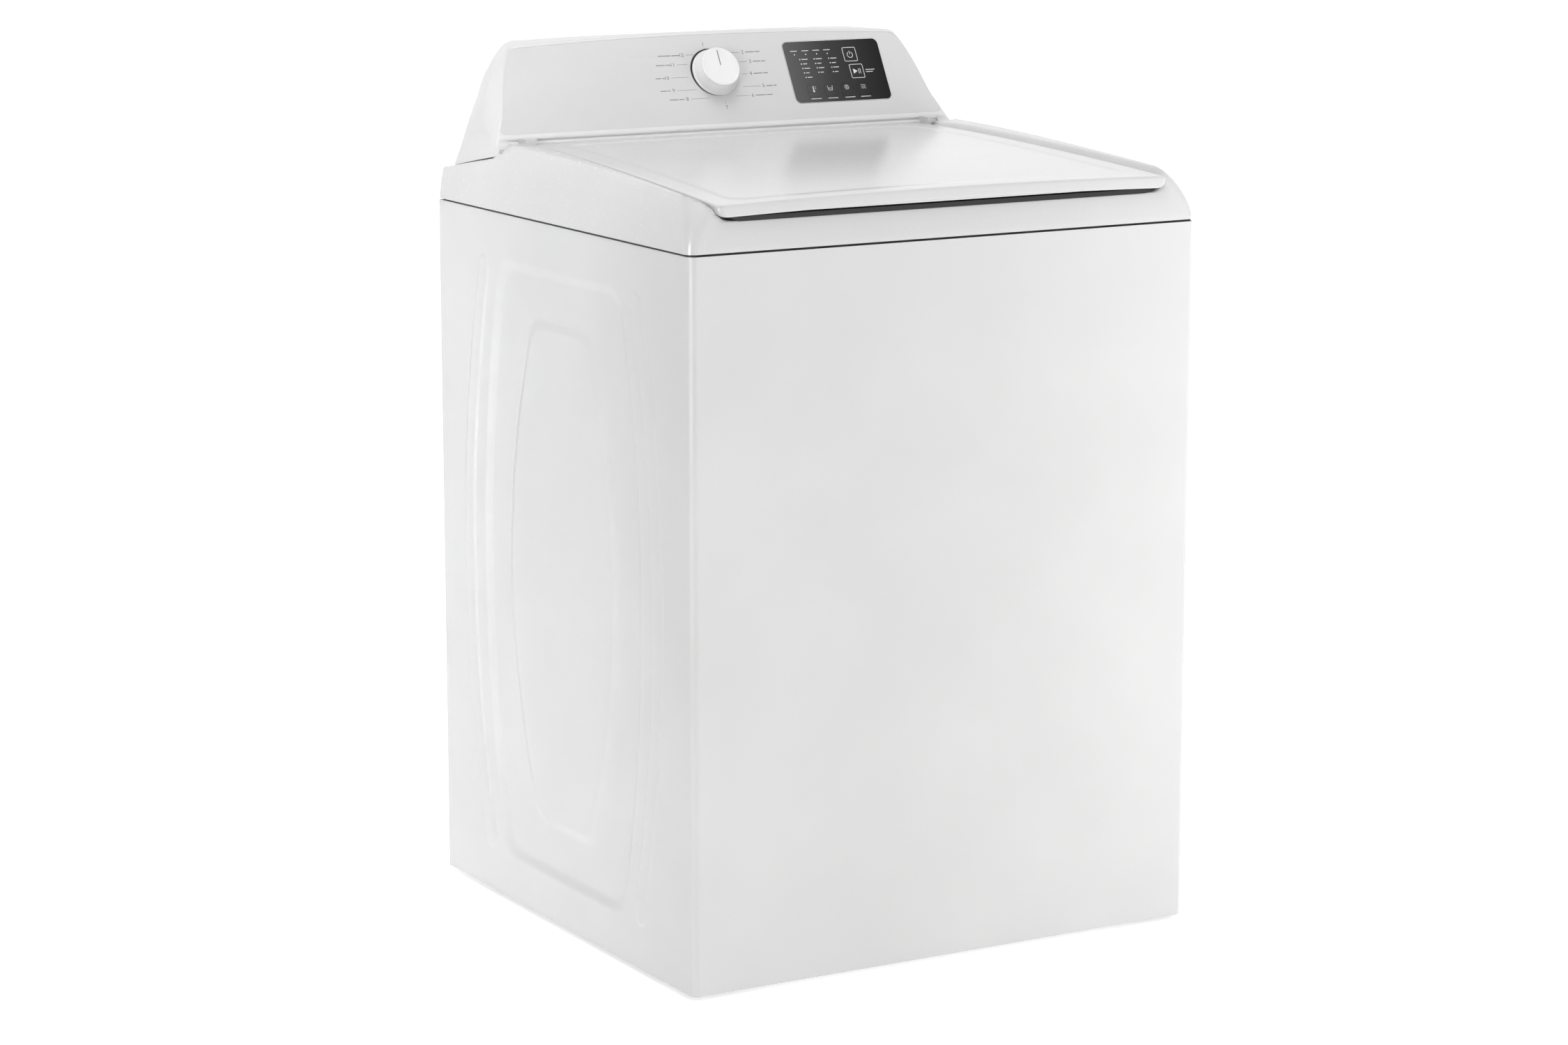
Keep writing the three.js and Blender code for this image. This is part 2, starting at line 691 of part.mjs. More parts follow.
// Half-widths of the console by height, at its face, at the end's crease and at the rear.
const faceHalf = through([
  [905, 344], [925, 339.5], [941, 334], [957, 327.5], [974, 319.5], [988, 312.5],
  [1021, 302.5], [1049, 291], [1063, 282.5], [1068, 278],
]);
const rearHalf = through([[880, 339.5], [900, 336], [935, 322], [1000, 294], [1045, 270], [1068, 246]]);
const creaseY = through([[900, 204], [950, 204], [964, 228], [992, 257], [1035, 266], [1068, 282]]);

function faceY(z) {
  return FACE_Y + (Math.max(z, FACE_Z) - FACE_Z) * (FACE_RUN / FACE_RISE);
}

// How far the end's crease stands out beside the face, widest at mid-height.
function creaseOut(z) {
  const rise = THREE.MathUtils.smoothstep(z, 956, 986);
  const fall = THREE.MathUtils.smoothstep(z, 1035, 1065);
  return 6 * rise * (1 - fall);
}

// A level ring round the console, inset by the wall for its inside. The crown follows the face's slope.
function consoleRing(z, offset) {
  const front = faceHalf(z) - offset;
  const rear = rearHalf(z) - offset;
  const foot = z < FACE_Z ? 10 : 0;
  const slant = offset * 1.15;
  const rise = THREE.MathUtils.smoothstep(z, 1000, CONSOLE_TOP);
  const half = [
    [0, faceY(z) + slant],
    [0.3 * front, faceY(z) + slant],
    [0.6 * front, faceY(z) + slant],
    [0.86 * front, faceY(z) + slant],
    [front - 3, faceY(z) + slant - foot],
    [front, faceY(z) + slant - foot + 3],
    [front + creaseOut(z), creaseY(z) + slant],
    [rear, CONSOLE_REAR_Y + (offset > 0 ? 10 : 0)],
  ];
  const plan = [...half, ...half.slice(1).reverse().map(([x, y]) => [-x, y])];
  return plan.map(([x, y]) => {
    const crown = Math.max(0, CONSOLE_CROWN * rise * (1 - (x / front) ** 2));
    const share = Math.max(0, (CONSOLE_REAR_Y - y) / (CONSOLE_REAR_Y - faceY(z)));
    const back = crown * share * (FACE_RUN / FACE_RISE);
    return new THREE.Vector3(x, y + back, z + crown - (z > 1060 ? offset : 0));
  });
}

function consoleBody(offset) {
  const levels = [905, 946, 951, 957, 968, 990, 1025, 1052, CONSOLE_TOP];
  return loft(levels.map((z) => consoleRing(z, offset)));
}

// The inset field on the console's face, in its own plane.
function fasciaShape(grow) {
  const [lowHalf, highHalf] = [316 + grow, 283 + grow];
  const [low, high, r] = [14 - grow, 128 + grow, 11];
  const shape = new THREE.Shape();
  shape.moveTo(-lowHalf + r, low);
  shape.lineTo(lowHalf - r, low);
  shape.quadraticCurveTo(lowHalf, low, lowHalf - 2, low + r);
  shape.quadraticCurveTo(highHalf + 22, 70, highHalf + 3, high - r);
  shape.quadraticCurveTo(highHalf, high, highHalf - r, high + 1);
  shape.quadraticCurveTo(0, high + 2 * CONSOLE_CROWN - 1, -highHalf + r, high + 1);
  shape.quadraticCurveTo(-highHalf, high, -highHalf - 3, high - r);
  shape.quadraticCurveTo(-highHalf - 22, 70, -lowHalf + 2, low + r);
  shape.quadraticCurveTo(-lowHalf, low, -lowHalf + r, low);
  return shape;
}

// Moves a solid made in the face's plane into the machine's frame.
function onFace(body) {
  return body.rotate([THREE.MathUtils.radToDeg(FACE_TILT), 0, 0]).translate([0, FACE_Y, FACE_Z]);
}

const FASCIA_TOP = -0.4;
const FASCIA_BOTTOM = -2.7;

function consoleFrame() {
  let body = consoleBody(0).subtract(consoleBody(CONSOLE_WALL));
  body = body.subtract(onFace(raised(fasciaShape(GAP), FASCIA_BOTTOM - GAP, 9)));
  body = body.subtract(onFace(raised(fasciaShape(-5), -20, 9)));
  const low = slotPolygon(SLOT_GAP);
  const below = across(polygon([...low, [360, 800], [SLOT_START_Y, 800]]), -400, 400);
  const ahead = box(-400, 400, 100, SLOT_START_Y + 0.1, 800, FACE_Z - 3);
  const lidSide = box(-300, 300, 100, FACE_Y - 0.5, 800, FACE_Z + 1);
  return largest(body.subtract(below).subtract(ahead).subtract(lidSide));
}

function consoleFascia() {
  const plate = raised(fasciaShape(0), FASCIA_BOTTOM, FASCIA_TOP);
  const shaftHole = upright(4.5, -9, 9, 0, KNOB_S);
  return plate.subtract(shaftHole).subtract(raised(panelShape(GAP), -9, 9));
}

function panelShape(grow) {
  const [w, h] = [PANEL_W / 2 + grow, PANEL_H / 2 + grow];
  return roundedRect(PANEL_X - w, PANEL_X + w, PANEL_S - h, PANEL_S + h, PANEL_R);
}

function keyShape(key, grow) {
  const half = key.size / 2 + grow;
  return roundedRect(key.x - half, key.x + half, key.s - half, key.s + half, 2);
}

function controlPanel() {
  let body = raised(panelShape(0), FASCIA_BOTTOM, 0);
  for (const key of KEYS) body = body.subtract(raised(keyShape(key, GAP), -9, 9, 2));
  return body;
}

function controlBoard() {
  const [w, h] = [PANEL_W / 2 - 2, PANEL_H / 2 - 2];
  const board = box(PANEL_X - w, PANEL_X + w, PANEL_S - h, PANEL_S + h, -13, -11);
  return board.add(box(PANEL_X - 60, PANEL_X - 20, PANEL_S - 30, PANEL_S + 20, -22, -12.5));
}

function cycleEncoder() {
  const body = box(-17, 17, KNOB_S - 17, KNOB_S + 17, -16, FASCIA_BOTTOM - GAP);
  return body.add(upright(3, -5, 12, 0, KNOB_S, PIN_ROUND));
}

function knobSkirt() {
  const body = turned([
    [3.5, 0.6], [KNOB_SKIRT_R, 0.6], [KNOB_SKIRT_R, 2], [KNOB_SKIRT_R - 3, 5], [3.5, 5],
  ], WIDE_ROUND);
  return body.translate([0, KNOB_S, 0]);
}

function knobCap() {
  const r = KNOB_CAP_R;
  const body = turned([
    [0, 13], [3.5, 13], [3.5, 5 + GAP], [r + 1.5, 5 + GAP], [r, KNOB_OUT - 3],
    [r - 1, KNOB_OUT - 1], [r - 3, KNOB_OUT], [0, KNOB_OUT],
  ], WIDE_ROUND);
  const pointer = box(-0.8, 0.8, 5, r - 2, KNOB_OUT - 0.6, KNOB_OUT + 1);
  return body.subtract(pointer).translate([0, KNOB_S, 0]);
}

const TRAY = { x0: -240, x1: -120, z0: 957, z1: 1015, deep: 30 };
const INLET_Z = 986;
const INLETS = [-208, -152];
const GLAND_X = 150;
const GLAND_Z = 980;

function consoleRearCover() {
  const outline = [];
  const edge = 7;
  const levels = [925, 950, 975, 1000, 1025, 1045, 1056];
  for (const z of levels) outline.push([rearHalf(z) - edge, z]);
  outline.push([130, 1061], [0, 1063], [-130, 1061]);
  for (const z of levels.slice().reverse()) outline.push([-rearHalf(z) + edge, z]);
  const geometry = new THREE.ExtrudeGeometry(polygon(outline), { depth: 2.5, bevelEnabled: false });
  geometry.rotateX(Math.PI / 2).translate(0, CONSOLE_REAR_Y - 1, 0);
  const t = TRAY;
  const rearY = CONSOLE_REAR_Y - 1;
  let body = solid(geometry);
  body = body.add(box(t.x0, t.x1, rearY - t.deep, rearY - 0.5, t.z0, t.z1));
  body = body.subtract(
    box(t.x0 + 2, t.x1 - 2, rearY - t.deep + 2, rearY + 9, t.z0 + 2, t.z1 - 2),
  );
  for (const x of INLETS) body = body.subtract(lying(14, rearY - 40, rearY + 9, x, INLET_Z));
  return body.subtract(lying(9, rearY - 9, rearY + 9, GLAND_X, GLAND_Z));
}

// Two threaded inlets on one body, with its outlet underneath.
function inletValve() {
  const front = CONSOLE_REAR_Y - 1 - TRAY.deep;
  let body = box(-230, -130, front - 26, front - 1, INLET_Z - 16, INLET_Z + 22);
  for (const x of INLETS) {
    body = body.add(lying(13, front - 3, CONSOLE_REAR_Y - 0.5, x, INLET_Z));
    body = body.subtract(lying(9, front - 1, CONSOLE_REAR_Y + 5, x, INLET_Z, PIN_ROUND));
    body = body.add(upright(13, INLET_Z + 20, INLET_Z + 44, x, front - 14));
  }
  return body.add(upright(8, INLET_Z - 28, INLET_Z - 15, FILL_X, FILL_Y));
}

const NOZZLE = { x: -130, y: 172, z: 884 };

function fillHose() {
  const n = NOZZLE;
  const points = [
    [FILL_X, FILL_Y, INLET_Z - 29],
    [FILL_X, FILL_Y, 925],
    [FILL_X + 5, FILL_Y - 10, 898],
    [FILL_X + 22, FILL_Y - 40, 888],
    [n.x - 2, n.y + 48, n.z + 1],
    [n.x, n.y + 32, n.z],
    [n.x, n.y + 20.6, n.z],
  ];
  return tube(points.map((p) => new THREE.Vector3(...p)), 10, 16, 8);
}

function fillNozzle() {
  const n = NOZZLE;
  const body = box(n.x - 30, n.x + 30, n.y - 14, n.y + 8, n.z - 12, n.z + 8);
  const spout = box(n.x - 27, n.x + 27, n.y - 11, n.y + 5, n.z - 20, n.z + 4);
  return body.add(lying(11, n.y + 7, n.y + 20, n.x, n.z)).subtract(spout);
}

function cordGland() {
  const rearY = CONSOLE_REAR_Y - 1;
  const body = lying(8.5, rearY - 14, rearY + 1, GLAND_X, GLAND_Z);
  const collar = lying(13, rearY + 0.3, rearY + 1.5, GLAND_X, GLAND_Z);
  return body.add(collar).subtract(lying(4.5, rearY - 20, rearY + 9, GLAND_X, GLAND_Z, PIN_ROUND));
}

// ---- Wash unit -----------------------------------------------------------------------------

// The ear that carries the tub on one suspension spring.
function tubEar(sideX, sideY) {
  const [x, y] = [sideX * ROD_X, sideY * ROD_REACH];
  const turn = Math.atan2(y, x);
  const root = TUB_R - 1.5;
  const at = (radius, angle) => [radius * Math.cos(angle), radius * Math.sin(angle)];
  const reach = Math.hypot(x, y);
  const shape = polygon([
    at(root, turn - 0.2), at(reach - 5, turn - 0.05), at(reach + 18, turn - 0.04),
    at(reach + 18, turn + 0.04), at(reach - 5, turn + 0.05), at(root, turn + 0.2),
  ]);
  const hole = upright(ROD_R + 1.5, EAR_Z - 5, EAR_Z + 15, x, y, PIN_ROUND);
  return raised(shape, EAR_Z, EAR_Z + EAR_THICK).subtract(hole);
}

function outerTub() {
  const r = TUB_R;
  const w = TUB_WALL;
  const low = TUB_BOTTOM;
  let body = turned([
    [TUBE_R + 3, low], [r - 24, low], [r, low + 24], [r, TUB_TOP],
    [r - w, TUB_TOP], [r - w, low + 26], [r - 26, low + w], [TUBE_R + 3, low + w],
  ], WIDE_ROUND);
  for (const sideX of [-1, 1]) {
    for (const sideY of [-1, 1]) body = body.add(tubEar(sideX, sideY));
  }
  return body.translate([0, TUB_Y, 0]);
}

function tubRing() {
  const low = TUB_TOP + GAP;
  return turned([
    [248, low + 8], [TUB_R - 12, low], [TUB_R + 1, low], [TUB_R + 1, low + 9],
    [256, low + 16], [248, low + 14],
  ], WIDE_ROUND).translate([0, TUB_Y, 0]);
}

function basket() {
  const r = BASKET_R;
  const low = BASKET_BOTTOM;
  const w = 2;
  return turned([
    [TUBE_R + 2, low - 8], [66, low - 8], [74, low], [r - 22, low], [r, low + 22], [r, BASKET_TOP],
    [r - w, BASKET_TOP], [r - w, low + 23], [r - 23, low + w], [72, low + w], [64, low + 12],
    [TUBE_R + 2, low + 12],
  ], WIDE_ROUND).translate([0, TUB_Y, 0]);
}

function balanceRing() {
  const [inner, outer] = [224, BASKET_R + 1];
  const low = BASKET_TOP + GAP;
  return turned([
    [inner + 8, low], [outer, low], [outer, RING_TOP - 4], [outer - 6, RING_TOP],
    [inner + 6, RING_TOP], [inner, RING_TOP - 8], [inner, low + 8],
  ], WIDE_ROUND).translate([0, TUB_Y, 0]);
}

const AGITATOR_FOOT = BASKET_BOTTOM + 16;
const AGITATOR_TOP = 520;

// A bell with four fins, and the shaft that turns it.
function agitatorBase() {
  const foot = AGITATOR_FOOT;
  let body = turned([
    [0, foot + 12], [SHAFT_R + 6, foot + 12], [72, foot + 6], [140, foot], [148, foot + 3],
    [146, foot + 8], [90, foot + 24], [58, foot + 60], [50, foot + 110], [46, AGITATOR_TOP - 2],
    [0, AGITATOR_TOP - 2],
  ]);
  for (let i = 0; i < 4; i++) {
    const fin = across(polygon([
      [40, foot + 10], [142, foot + 6], [140, foot + 26], [100, foot + 60], [74, foot + 130],
      [66, AGITATOR_TOP - 24], [40, AGITATOR_TOP - 20],
    ]), -4, 4);
    body = body.add(fin.rotate([0, 0, 90 * i]));
  }
  body = body.add(upright(SHAFT_R, 166, foot + 20, 0, 0, PIN_ROUND));
  return body.translate([0, TUB_Y, 0]);
}

// A hollow barrel with a helical flight, open at the top for the softener cup.
function auger() {
  const [low, high] = [AGITATOR_TOP + GAP, 712];
  let body = turned([
    [0, low], [46, low], [44, high - 20], [47, high - 6], [47, high], [43, high], [40, high - 20],
    [40, high - 60], [0, high - 60],
  ], SMALL_ROUND);
  const turns = 1.5;
  const steps = 27;
  const rings = [];
  for (let i = 0; i <= steps; i++) {
    const turn = (2 * Math.PI * turns * i) / steps;
    const z = low + 10 + ((high - low - 60) * i) / steps;
    const swell = Math.sin((Math.PI * i) / steps) ** 0.4;
    const outer = 43 + 31 * swell;
    const section = [[41, z - 5], [outer, z - 1.5], [outer, z + 1.5], [41, z + 5]];
    rings.push(section.map(([r, h]) => new THREE.Vector3(
      r * Math.cos(turn), r * Math.sin(turn), h,
    )));
  }
  body = body.add(loft(rings));
  return body.translate([0, TUB_Y, 0]);
}

function mountingPlate() {
  const half = 195;
  const top = TUB_BOTTOM - 0.5;
  const plate = raised(roundedRect(-half, half, -half, half, 70), top - 8, top);
  return plate.subtract(upright(TUBE_R + 4, top - 20, top + 9)).translate([0, TUB_Y, 0]);
}

const PLATE_LOW = TUB_BOTTOM - 8.5;

function gearcase() {
  const bore = SHAFT_R + 0.8;
  const top = PLATE_LOW - GAP;
  return turned([
    [bore, 118], [34, 118], [40, 128], [66, 134], [70, 142], [70, 184], [84, 190],
    [84, top], [TUBE_R, top], [TUBE_R, BASKET_BOTTOM + 14], [bore, BASKET_BOTTOM + 14],
  ], 20).translate([0, TUB_Y, 0]);
}

function motorHousing() {
  const bore = 8;
  const top = PLATE_LOW - GAP;
  const body = turned([
    [bore, 104], [30, 104], [58, 116], [62, 122], [62, 186], [54, 198], [54, top],
    [bore, top],
  ], 20);
  return body.translate([MOTOR_X, TUB_Y, 0]);
}

function pulley(radius, shaftR, shaftTop, hubR) {
  const [low, high] = [BELT_Z - BELT_HIGH / 2 - 3, BELT_Z + BELT_HIGH / 2 + 3];
  return turned([
    [0, low], [hubR, low], [hubR + 2, low + 3], [radius - 6, low + 3], [radius, low],
    [radius, high], [radius - 6, high], [radius - 6, low + 7], [hubR + 2, low + 7],
    [hubR, high], [shaftR, high], [shaftR, shaftTop], [0, shaftTop],
  ]);
}

function motorPulley() {
  const [low, high] = [BELT_Z - BELT_HIGH / 2 - 3, BELT_Z + BELT_HIGH / 2 + 3];
  return turned([
    [0, low], [MOTOR_PULLEY_R, low], [MOTOR_PULLEY_R, high], [7, high], [7, 150], [0, 150],
  ], SMALL_ROUND).translate([MOTOR_X, TUB_Y, 0]);
}

// The outline of a loop round both pulleys, standing off them by a distance.
function beltOutline(off) {
  const [big, small] = [PULLEY_R + off, MOTOR_PULLEY_R + off];
  const wrap = Math.acos((big - small) / Math.abs(MOTOR_X));
  const points = [];
  const steps = 16;
  for (let i = 0; i <= steps; i++) {
    const turn = -(Math.PI - wrap) + (2 * (Math.PI - wrap) * i) / steps;
    points.push([big * Math.cos(turn), TUB_Y + big * Math.sin(turn)]);
  }
  for (let i = 0; i <= steps / 2; i++) {
    const turn = Math.PI - wrap + (2 * wrap * i) / (steps / 2);
    points.push([MOTOR_X + small * Math.cos(turn), TUB_Y + small * Math.sin(turn)]);
  }
  return points;
}

function driveBelt() {
  const [low, high] = [BELT_Z - BELT_HIGH / 2, BELT_Z + BELT_HIGH / 2];
  const outside = raised(polygon(beltOutline(BELT_STANDOFF + BELT_THICK)), low, high);
  return outside.subtract(raised(polygon(beltOutline(BELT_STANDOFF)), low - 5, high + 5));
}

const PUMP_X = 130;
const PUMP_Y = -120;

function drainPump() {
  const top = PLATE_LOW - GAP;
  const body = turned([
    [0, 122], [30, 122], [36, 128], [36, 168], [44, 170], [44, 196], [30, top], [0, top],
  ], 18).translate([PUMP_X, PUMP_Y, 0]);
  const outlet = new THREE.CylinderGeometry(12, 12, 40, PIN_ROUND);
  outlet.rotateZ(Math.PI / 2).translate(PUMP_X + 55, PUMP_Y, 183);
  return body.add(solid(outlet));
}

function drainHose() {
  const points = [
    [PUMP_X + 75.6, PUMP_Y, 183],
    [PUMP_X + 88, PUMP_Y, 183],
    [PUMP_X + 110, PUMP_Y + 16, 178],
    [PUMP_X + 125, PUMP_Y + 60, 172],
    [PUMP_X + 100, 120, 172],
    [DRAIN_X + 20, 240, 180],
    [DRAIN_X, 284, 230],
    [DRAIN_X, 285, 330],
    [DRAIN_X, 285, 560],
    [DRAIN_X, 284, 700],
    [DRAIN_X, 285, 748],
    [DRAIN_X, 292, DRAIN_Z - 6],
    [DRAIN_X, 302, DRAIN_Z],
    [DRAIN_X, 311.5, DRAIN_Z],
  ];
  return tube(points.map((p) => new THREE.Vector3(...p)), 12, 30, 8);
}

function drainOutlet() {
  const [outside, inside] = [REAR_PANEL_Y + GAP, REAR_PANEL_Y - 14];
  const collar = lying(22, outside, HALF_DEPTH - 0.3, DRAIN_X, DRAIN_Z);
  const spigot = lying(11, inside, HALF_DEPTH - 1, DRAIN_X, DRAIN_Z);
  return collar.add(spigot).subtract(lying(8.5, inside - 5, HALF_DEPTH + 5, DRAIN_X, DRAIN_Z));
}

function suspensionRod(sideX, sideY) {
  const high = HANGER_Z + SHEET + GAP;
  return turned([
    [0, SPRING_BOTTOM - 10], [16, SPRING_BOTTOM - 10], [16, SPRING_BOTTOM - 3],
    [ROD_R, SPRING_BOTTOM - 1], [ROD_R, high], [10, high], [11, high + 6], [0, high + 9],
  ], PIN_ROUND).translate([sideX * ROD_X, rodY(sideY), 0]);
}

function suspensionSpring(sideX, sideY) {
  const coils = 5;
  const radius = 11.5;
  const wire = 2.2;
  const [low, high] = [SPRING_BOTTOM + wire, EAR_Z - wire - GAP];
  class Helix extends THREE.Curve {
    getPoint(t, target = new THREE.Vector3()) {
      const turn = 2 * Math.PI * coils * t;
      return target.set(radius * Math.cos(turn), radius * Math.sin(turn), low + (high - low) * t);
    }
  }
  const body = tube([], wire, coils * 7, 4, new Helix());
  return body.translate([sideX * ROD_X, rodY(sideY), 0]);
}

// ---- Assembly ------------------------------------------------------------------------------

addNode(machine, "cabinet_wrapper", cabinetWrapper(), WHITE);
addNode(machine, "rear_panel", rearPanel(), STEEL);
addNode(machine, "base_rail_front", baseRail(-1), STEEL);
addNode(machine, "base_rail_rear", baseRail(1), STEEL);
addNode(machine, "top_panel", topPanel(), WHITE);
addNode(machine, "bleach_dispenser", bleachDispenser(), WHITE_PLASTIC);
addNode(machine, "lid_lock", lidLock(), BLACK_PLASTIC);
addNode(machine, "lid_outer", lidOuter(), WHITE);
addNode(machine, "lid_inner", lidInner(), WHITE_PLASTIC);
addNode(machine, "lid_strike", lidStrike(), WHITE_PLASTIC);

addNode(machine, "console_frame", consoleFrame(), WHITE_PLASTIC);
addNode(face, "console_fascia", consoleFascia(), WHITE_PLASTIC);
addNode(face, "control_panel", controlPanel(), DARK_PLASTIC);
addNode(face, "control_board", controlBoard(), BOARD);
addNode(face, "cycle_encoder", cycleEncoder(), GREY_PLASTIC);
addNode(face, "knob_skirt", knobSkirt(), WHITE_PLASTIC);
addNode(face, "knob_cap", knobCap(), WHITE_PLASTIC);
for (const key of KEYS) {
  addNode(face, key.name, raised(keyShape(key, 0), -KEY_THICK, 0.2, 2), DARK_PLASTIC);
}
addNode(machine, "console_rear_cover", consoleRearCover(), STEEL);
addNode(machine, "inlet_valve", inletValve(), GREY_PLASTIC);
addNode(machine, "fill_hose", fillHose(), RUBBER);
addNode(machine, "fill_nozzle", fillNozzle(), WHITE_PLASTIC);
addNode(machine, "cord_gland", cordGland(), BLACK_PLASTIC);

addNode(machine, "outer_tub", outerTub(), GREY_PLASTIC);
addNode(machine, "tub_ring", tubRing(), WHITE_PLASTIC);
addNode(machine, "basket", basket(), STEEL);
addNode(machine, "balance_ring", balanceRing(), WHITE_PLASTIC);
addNode(machine, "agitator_base", agitatorBase(), WHITE_PLASTIC);
addNode(machine, "auger", auger(), WHITE_PLASTIC);
addNode(machine, "mounting_plate", mountingPlate(), STEEL);
addNode(machine, "gearcase", gearcase(), CAST);
addNode(machine, "motor_housing", motorHousing(), CAST);
addNode(machine, "drive_pulley", pulley(PULLEY_R, SHAFT_R, 158, 20).translate([0, TUB_Y, 0]), CAST);
addNode(machine, "motor_pulley", motorPulley(), CAST);
addNode(machine, "drive_belt", driveBelt(), RUBBER);
addNode(machine, "drain_pump", drainPump(), WHITE_PLASTIC);
addNode(machine, "drain_hose", drainHose(), RUBBER);
addNode(machine, "drain_outlet", drainOutlet(), BLACK_PLASTIC);

for (const [sideX, sideName] of [[-1, "left"], [1, "right"]]) {
  addNode(machine, `hinge_bracket_${sideName}`, hingeBracket(sideX), STEEL);
  addNode(machine, `lid_bumper_${sideName}`, lidBumper(sideX), RUBBER);
  for (const [sideY, endName] of [[-1, "front"], [1, "rear"]]) {
    const corner = `${endName}_${sideName}`;
    addNode(machine, `suspension_rod_${corner}`, suspensionRod(sideX, sideY), STEEL);
    addNode(machine, `suspension_spring_${corner}`, suspensionSpring(sideX, sideY), STEEL);
    const foot = addNode(machine, `foot_${corner}`, levellingFoot(), RUBBER);
    foot.position.set(sideX * FOOT_X, sideY * FOOT_Y, 0);
  }
}

export default machine;
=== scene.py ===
"""Looks for a top load washing machine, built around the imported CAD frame.

Shapes are drawn in millimetres and written in metres. +Z is up and -Y is the front.
"""

import math

import bmesh
import bpy
from mathutils import Matrix, Vector


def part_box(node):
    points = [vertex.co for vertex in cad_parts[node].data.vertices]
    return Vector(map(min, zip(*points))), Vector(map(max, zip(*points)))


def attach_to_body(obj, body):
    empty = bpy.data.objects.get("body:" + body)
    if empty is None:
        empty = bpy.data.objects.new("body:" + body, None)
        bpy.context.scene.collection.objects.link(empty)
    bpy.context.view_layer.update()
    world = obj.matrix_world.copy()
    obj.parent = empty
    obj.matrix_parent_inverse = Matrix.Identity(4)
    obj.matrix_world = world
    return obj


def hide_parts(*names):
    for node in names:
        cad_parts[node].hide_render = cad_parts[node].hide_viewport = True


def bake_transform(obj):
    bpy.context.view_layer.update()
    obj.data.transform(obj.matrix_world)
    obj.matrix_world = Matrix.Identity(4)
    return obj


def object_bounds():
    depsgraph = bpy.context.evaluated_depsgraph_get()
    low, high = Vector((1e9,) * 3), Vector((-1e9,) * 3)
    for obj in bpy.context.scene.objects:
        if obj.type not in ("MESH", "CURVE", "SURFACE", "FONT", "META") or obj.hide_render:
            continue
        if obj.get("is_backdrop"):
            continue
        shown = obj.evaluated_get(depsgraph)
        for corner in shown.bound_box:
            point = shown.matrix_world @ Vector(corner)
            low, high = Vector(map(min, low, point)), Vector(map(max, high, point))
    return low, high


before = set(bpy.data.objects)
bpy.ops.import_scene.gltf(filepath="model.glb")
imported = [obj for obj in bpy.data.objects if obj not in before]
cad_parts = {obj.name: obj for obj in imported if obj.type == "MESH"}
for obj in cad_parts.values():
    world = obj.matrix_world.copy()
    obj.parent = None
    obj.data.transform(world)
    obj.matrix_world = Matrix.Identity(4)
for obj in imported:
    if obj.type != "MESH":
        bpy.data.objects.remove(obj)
CAD_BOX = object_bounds()
MM = 0.001


def box_mm(node):
    """(lowest corner, highest corner) of a CAD node, in millimetres."""
    low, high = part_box(node)
    return low / MM, high / MM


# ---- Sizes, read from the frame where a CAD node has them ----

CABINET_LOW, CABINET_HIGH = box_mm("cabinet_wrapper")
TOP_LOW, TOP_HIGH = box_mm("top_panel")
LID_LOW, LID_HIGH = box_mm("lid_outer")

HALF_WIDTH = CABINET_HIGH.x
HALF_DEPTH = -CABINET_LOW.y
BEAD_HEIGHT = 2
SHEET_X = HALF_WIDTH - BEAD_HEIGHT
SEAM_Z = TOP_LOW.z
RIM_REAR_Z = TOP_HIGH.z
RIM_DROP = 21
RIM_RUN = 465
RIM_REAR_Y = 155
LID_FRONT_Y = LID_LOW.y
LID_REAR_Y = LID_HIGH.y
LID_FRONT_HALF = 308
LID_REAR_HALF = 281
LID_BELOW_RIM = 3
LID_THICK = 14
LID_CROWN = 4.5
LID_DISH = 1.15
FINGER_GAP = 6
POCKET_REAR_Y = 197
OPENING = {"half": 222, "front": -262, "rear": 150, "r": 70}
SKIRT_Z = 886
SLOT_Y, SLOT_TOP = 186, 941
POCKET_SIDE = 2.5
SLOT_BEND = (192, 937)
SLOT_FALL = 0.173

FACE = Vector((0, 198, 952))
FACE_LEAN = 67 / 120
UP_SLOPE = Vector((0, 67, 120)).normalized()
OUT = Vector((0, -UP_SLOPE.z, UP_SLOPE.y))
CONSOLE_TOP = 1068
CONSOLE_CROWN = 7.5
CONSOLE_REAR_Y = 330
KNOB_S = 83.5
TUB_Y = -10
CORNERS = [(x, y) for x in (-1, 1) for y in (-1, 1)]


def smooth(t):
    """An eased step from 0 to 1."""
    t = min(1.0, max(0.0, t))
    return t * t * (3 - 2 * t)


def through(knots):
    """A smooth function through a few (position, value) points."""
    slopes = []
    for i in range(len(knots)):
        before, after = knots[max(0, i - 1)], knots[min(len(knots) - 1, i + 1)]
        slopes.append((after[1] - before[1]) / (after[0] - before[0]))

    def at(p):
        i = 0
        while i < len(knots) - 2 and p > knots[i + 1][0]:
            i += 1
        (p0, a), (p1, b) = knots[i], knots[i + 1]
        t = min(1.0, max(0.0, (p - p0) / (p1 - p0)))
        first = a + t * (p1 - p0) * slopes[i]
        second = b - (1 - t) * (p1 - p0) * slopes[i + 1]
        mix = smooth(t)
        return first * (1 - mix) + second * mix

    return at


def on_face(x, s, h=0.0):
    """A point of the console's face: across, up the slope and out of it."""
    return FACE + Vector((x, 0, 0)) + UP_SLOPE * s + OUT * h


# ---- Materials ----


def add(tree, kind, **inputs):
    """A new shader node, with a value or a link for each input named."""
    node = tree.nodes.new("ShaderNode" + kind)
    feed(tree, node, **inputs)
    return node


def feed(tree, node, **inputs):
    """Sets or links a node's inputs. An underscore in a name stands for a space."""
    for name, value in inputs.items():
        socket = node.inputs[name.replace("_", " ")]
        if isinstance(value, bpy.types.NodeSocket):
            tree.links.new(value, socket)
        else:
            socket.default_value = value


